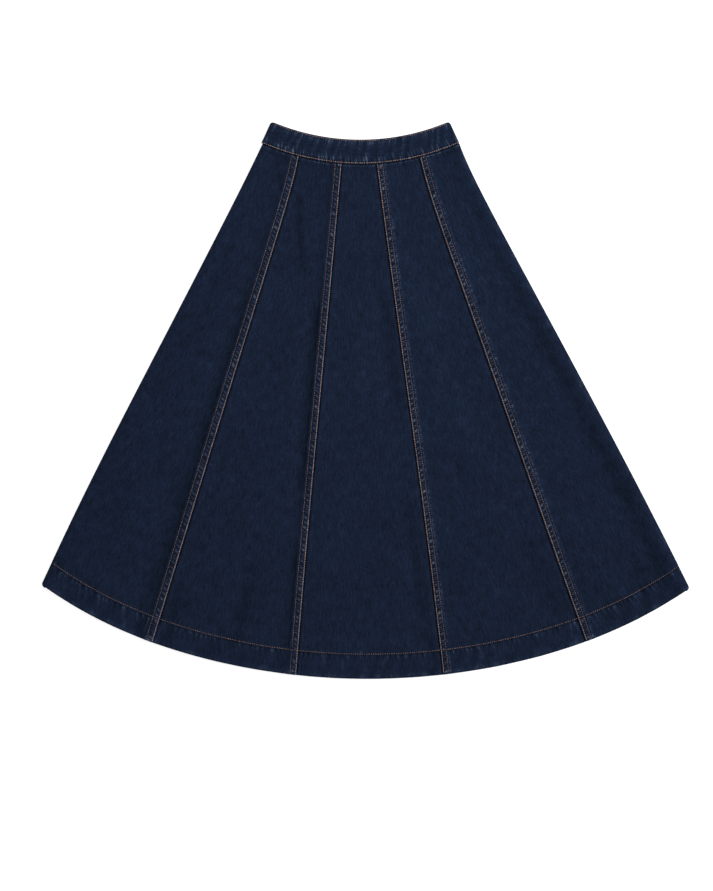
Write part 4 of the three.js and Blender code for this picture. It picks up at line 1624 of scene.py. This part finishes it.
@dataclass
class Skirt:
    """The whole skirt: ten gores, the waistband and the topstitching.

    Each table has one entry for each gore from left to right, the same for the front and the back.
    """

    names: tuple[str, ...] = (
        "side_gore_left", "gore_left", "gore_centre", "gore_right", "side_gore_right")
    edges: tuple[tuple[Edge, Edge], ...] = (
        (Edge.FOLD, Edge.STRIP), (Edge.UNDER, Edge.STRIP), (Edge.UNDER, Edge.UNDER),
        (Edge.STRIP, Edge.UNDER), (Edge.STRIP, Edge.FOLD))
    # Each gore's cut as flat width, flat length and area, in metres, without its allowances.
    cuts: tuple[tuple[float, float, float], ...] = (
        (0.179, 0.83, 0.1097), (0.228, 0.83, 0.1244), (0.235, 0.812, 0.1224), (0.227, 0.83, 0.1238),
        (0.167, 0.83, 0.1066))
    # The creases' tones are painted light and painted shade along them.
    creases: tuple[tuple[Crease, ...], ...] = (
        (Crease((0.75, 0.28), (0.77, 1.25), 16, -1.6),
         Crease((0.8, 0.24), (0.85, 0.52), 8, -0.3, -0.2),
         Crease((0.85, 0.46), (0.85, 0.66), 9, -0.3, -0.2),
         Crease((0.86, 0.6), (0.87, 1.04), 13, -0.4, -0.2),
         Crease((0.2, -0.01), (0.95, 0.1), 6, -0.7, -0.14),
         Crease((0.15, 0.0), (0.14, 0.16), 15, 0.4, 0.14),
         Crease((0.24, 0.13), (0.28, 0.5), 8, -0.8, -0.05),
         Crease((0.45, 0.7), (0.4, 0.96), 12, 0.5, 0.08),
         Crease((0.3, 0.66), (0.22, 1.1), 14, -0.6)),
        (Crease((0.08, 0.05), (0.56, 0.24), 7, -1.3, -0.28),
         Crease((0.74, 0.2), (0.86, 0.66), 14, -1.4),
         Crease((0.84, 0.24), (0.87, 0.48), 9, -0.3, -0.26),
         Crease((0.88, 0.42), (0.9, 0.68), 8, -0.3, -0.16),
         Crease((0.56, 0.76), (0.51, 1.14), 11, -1.4, -0.22),
         Crease((0.9, 0.72), (0.9, 1.0), 10, -0.9, -0.18),
         Crease((0.06, 0.86), (0.08, 1.06), 9, -0.7, -0.26),
         Crease((0.32, 0.52), (0.24, 0.86), 12, -0.7)),
        (Crease((0.72, 0.2), (0.8, 0.55), 10, -1.2),
         Crease((0.88, 0.22), (0.92, 0.56), 8, 0.0, -0.18),
         Crease((0.84, 0.58), (0.95, 1.16), 9, -1.1, -0.2),
         Crease((0.44, 0.3), (0.46, 0.56), 15, 0.7, 0.08),
         Crease((0.3, 0.74), (0.24, 1.15), 15, 0.5)),
        (Crease((0.2, 0.06), (0.44, 0.5), 12, 0.7, 0.1),
         Crease((0.52, 0.44), (0.57, 0.6), 8, 0.6, 0.1),
         Crease((0.4, 0.57), (0.41, 0.68), 8, -0.6, -0.14),
         Crease((0.79, 0.74), (0.88, 0.96), 14, -1.3, -0.18),
         Crease((0.36, 0.7), (0.34, 1.12), 14, 0.4)),
        (Crease((0.26, 0.08), (0.3, 0.34), 10, 0.25, 0.05),
         Crease((0.27, 0.88), (0.3, 1.12), 9, -0.9, -0.12),
         Crease((0.1, 0.76), (0.1, 0.98), 10, -0.3, -0.14),
         Crease((0.6, 0.78), (0.62, 1.3), 44, 0.0, -0.06),
         Crease((0.62, 0.86), (0.58, 1.12), 10, -0.8, -0.06)),
    )
    strips: tuple[Strip | None, ...] = (
        replace(STRIP_LEFT, near=1.3, far=10.3, ledge=Bell(15.6, 1.5, 0.7)), STRIP_LEFT, None,
        STRIP_RIGHT, replace(STRIP_RIGHT, near=1.8, far=9.1))
    # The right fold's edge has a painted highlight and the left one's a painted shade.
    folds: tuple[SideFold | None, ...] = (
        SideFold(0.5, Bell(2.8, 3.2, -0.04)), None, None, None, SideFold(2.4, Bell(2.8, 3.2, 0.26)))
    seed_step: int = 20  # from one gore's seed to the next
    back_seed: int = 200  # from the front's seeds to the back's
    gores: list[Gore] = field(default_factory=list)

    def cut(self) -> None:
        """Lay out the ten gores from the tables."""
        for layer in Layer:
            for i, name in enumerate(self.names):
                width, length, area = self.cuts[i]
                seed = self.seed_step * i + (0 if layer is Layer.FRONT else self.back_seed)
                self.gores.append(Gore(name, layer, LINES[i], LINES[i + 1], *self.edges[i],
                                       self.creases[i], seed, self.strips[i], self.folds[i],
                                       (width, length), area))

    def build(self, denim: bpy.types.Material, thread: bpy.types.Material) -> None:
        """Make every piece and report it.

        Args:
            denim: the cloth's finish.
            thread: the stitches' finish.
        """
        self.cut()
        for gore in self.gores:
            self.report(gore.build(denim))
        band = Waistband()
        self.report(band.build(denim))
        sewing = Topstitching()
        for layer in Layer:
            rows = [sewing.seam_row(gore, side, d, row)
                    for gore in self.gores if gore.layer is layer
                    for side, edge in ((-1, gore.left_edge), (1, gore.right_edge))
                    if edge is Edge.STRIP
                    for d, row in ((gore.strip.near, sewing.near), (gore.strip.far, sewing.far))]
            self.report(sewing.build(f"topstitch_{layer.name.lower()}_seams", rows, thread))
        rows = [sewing.hem_row(gore) for gore in self.gores]
        self.report(sewing.build("topstitch_hem", rows, thread))
        rows = [sewing.band_row(band, band.row_top, sewing.band_top),
                sewing.band_row(band, PLAN.band_height - band.row_low, sewing.band_low)]
        self.report(sewing.build("topstitch_waistband", rows, thread))

    @staticmethod
    def report(piece: bpy.types.Object) -> None:
        """Log a piece's name and its number of triangles."""
        log.info("%s: %d triangles", piece.name, len(piece.data.polygons))


def main() -> None:
    """Build the studio and the skirt."""
    logging.basicConfig(level=logging.INFO, format="%(name)s: %(message)s")
    studio = Studio()
    studio.camera()
    studio.build()
    Skirt().build(RinsedDenim().build(), CopperThread().build())


if __name__ == "__main__":
    main()
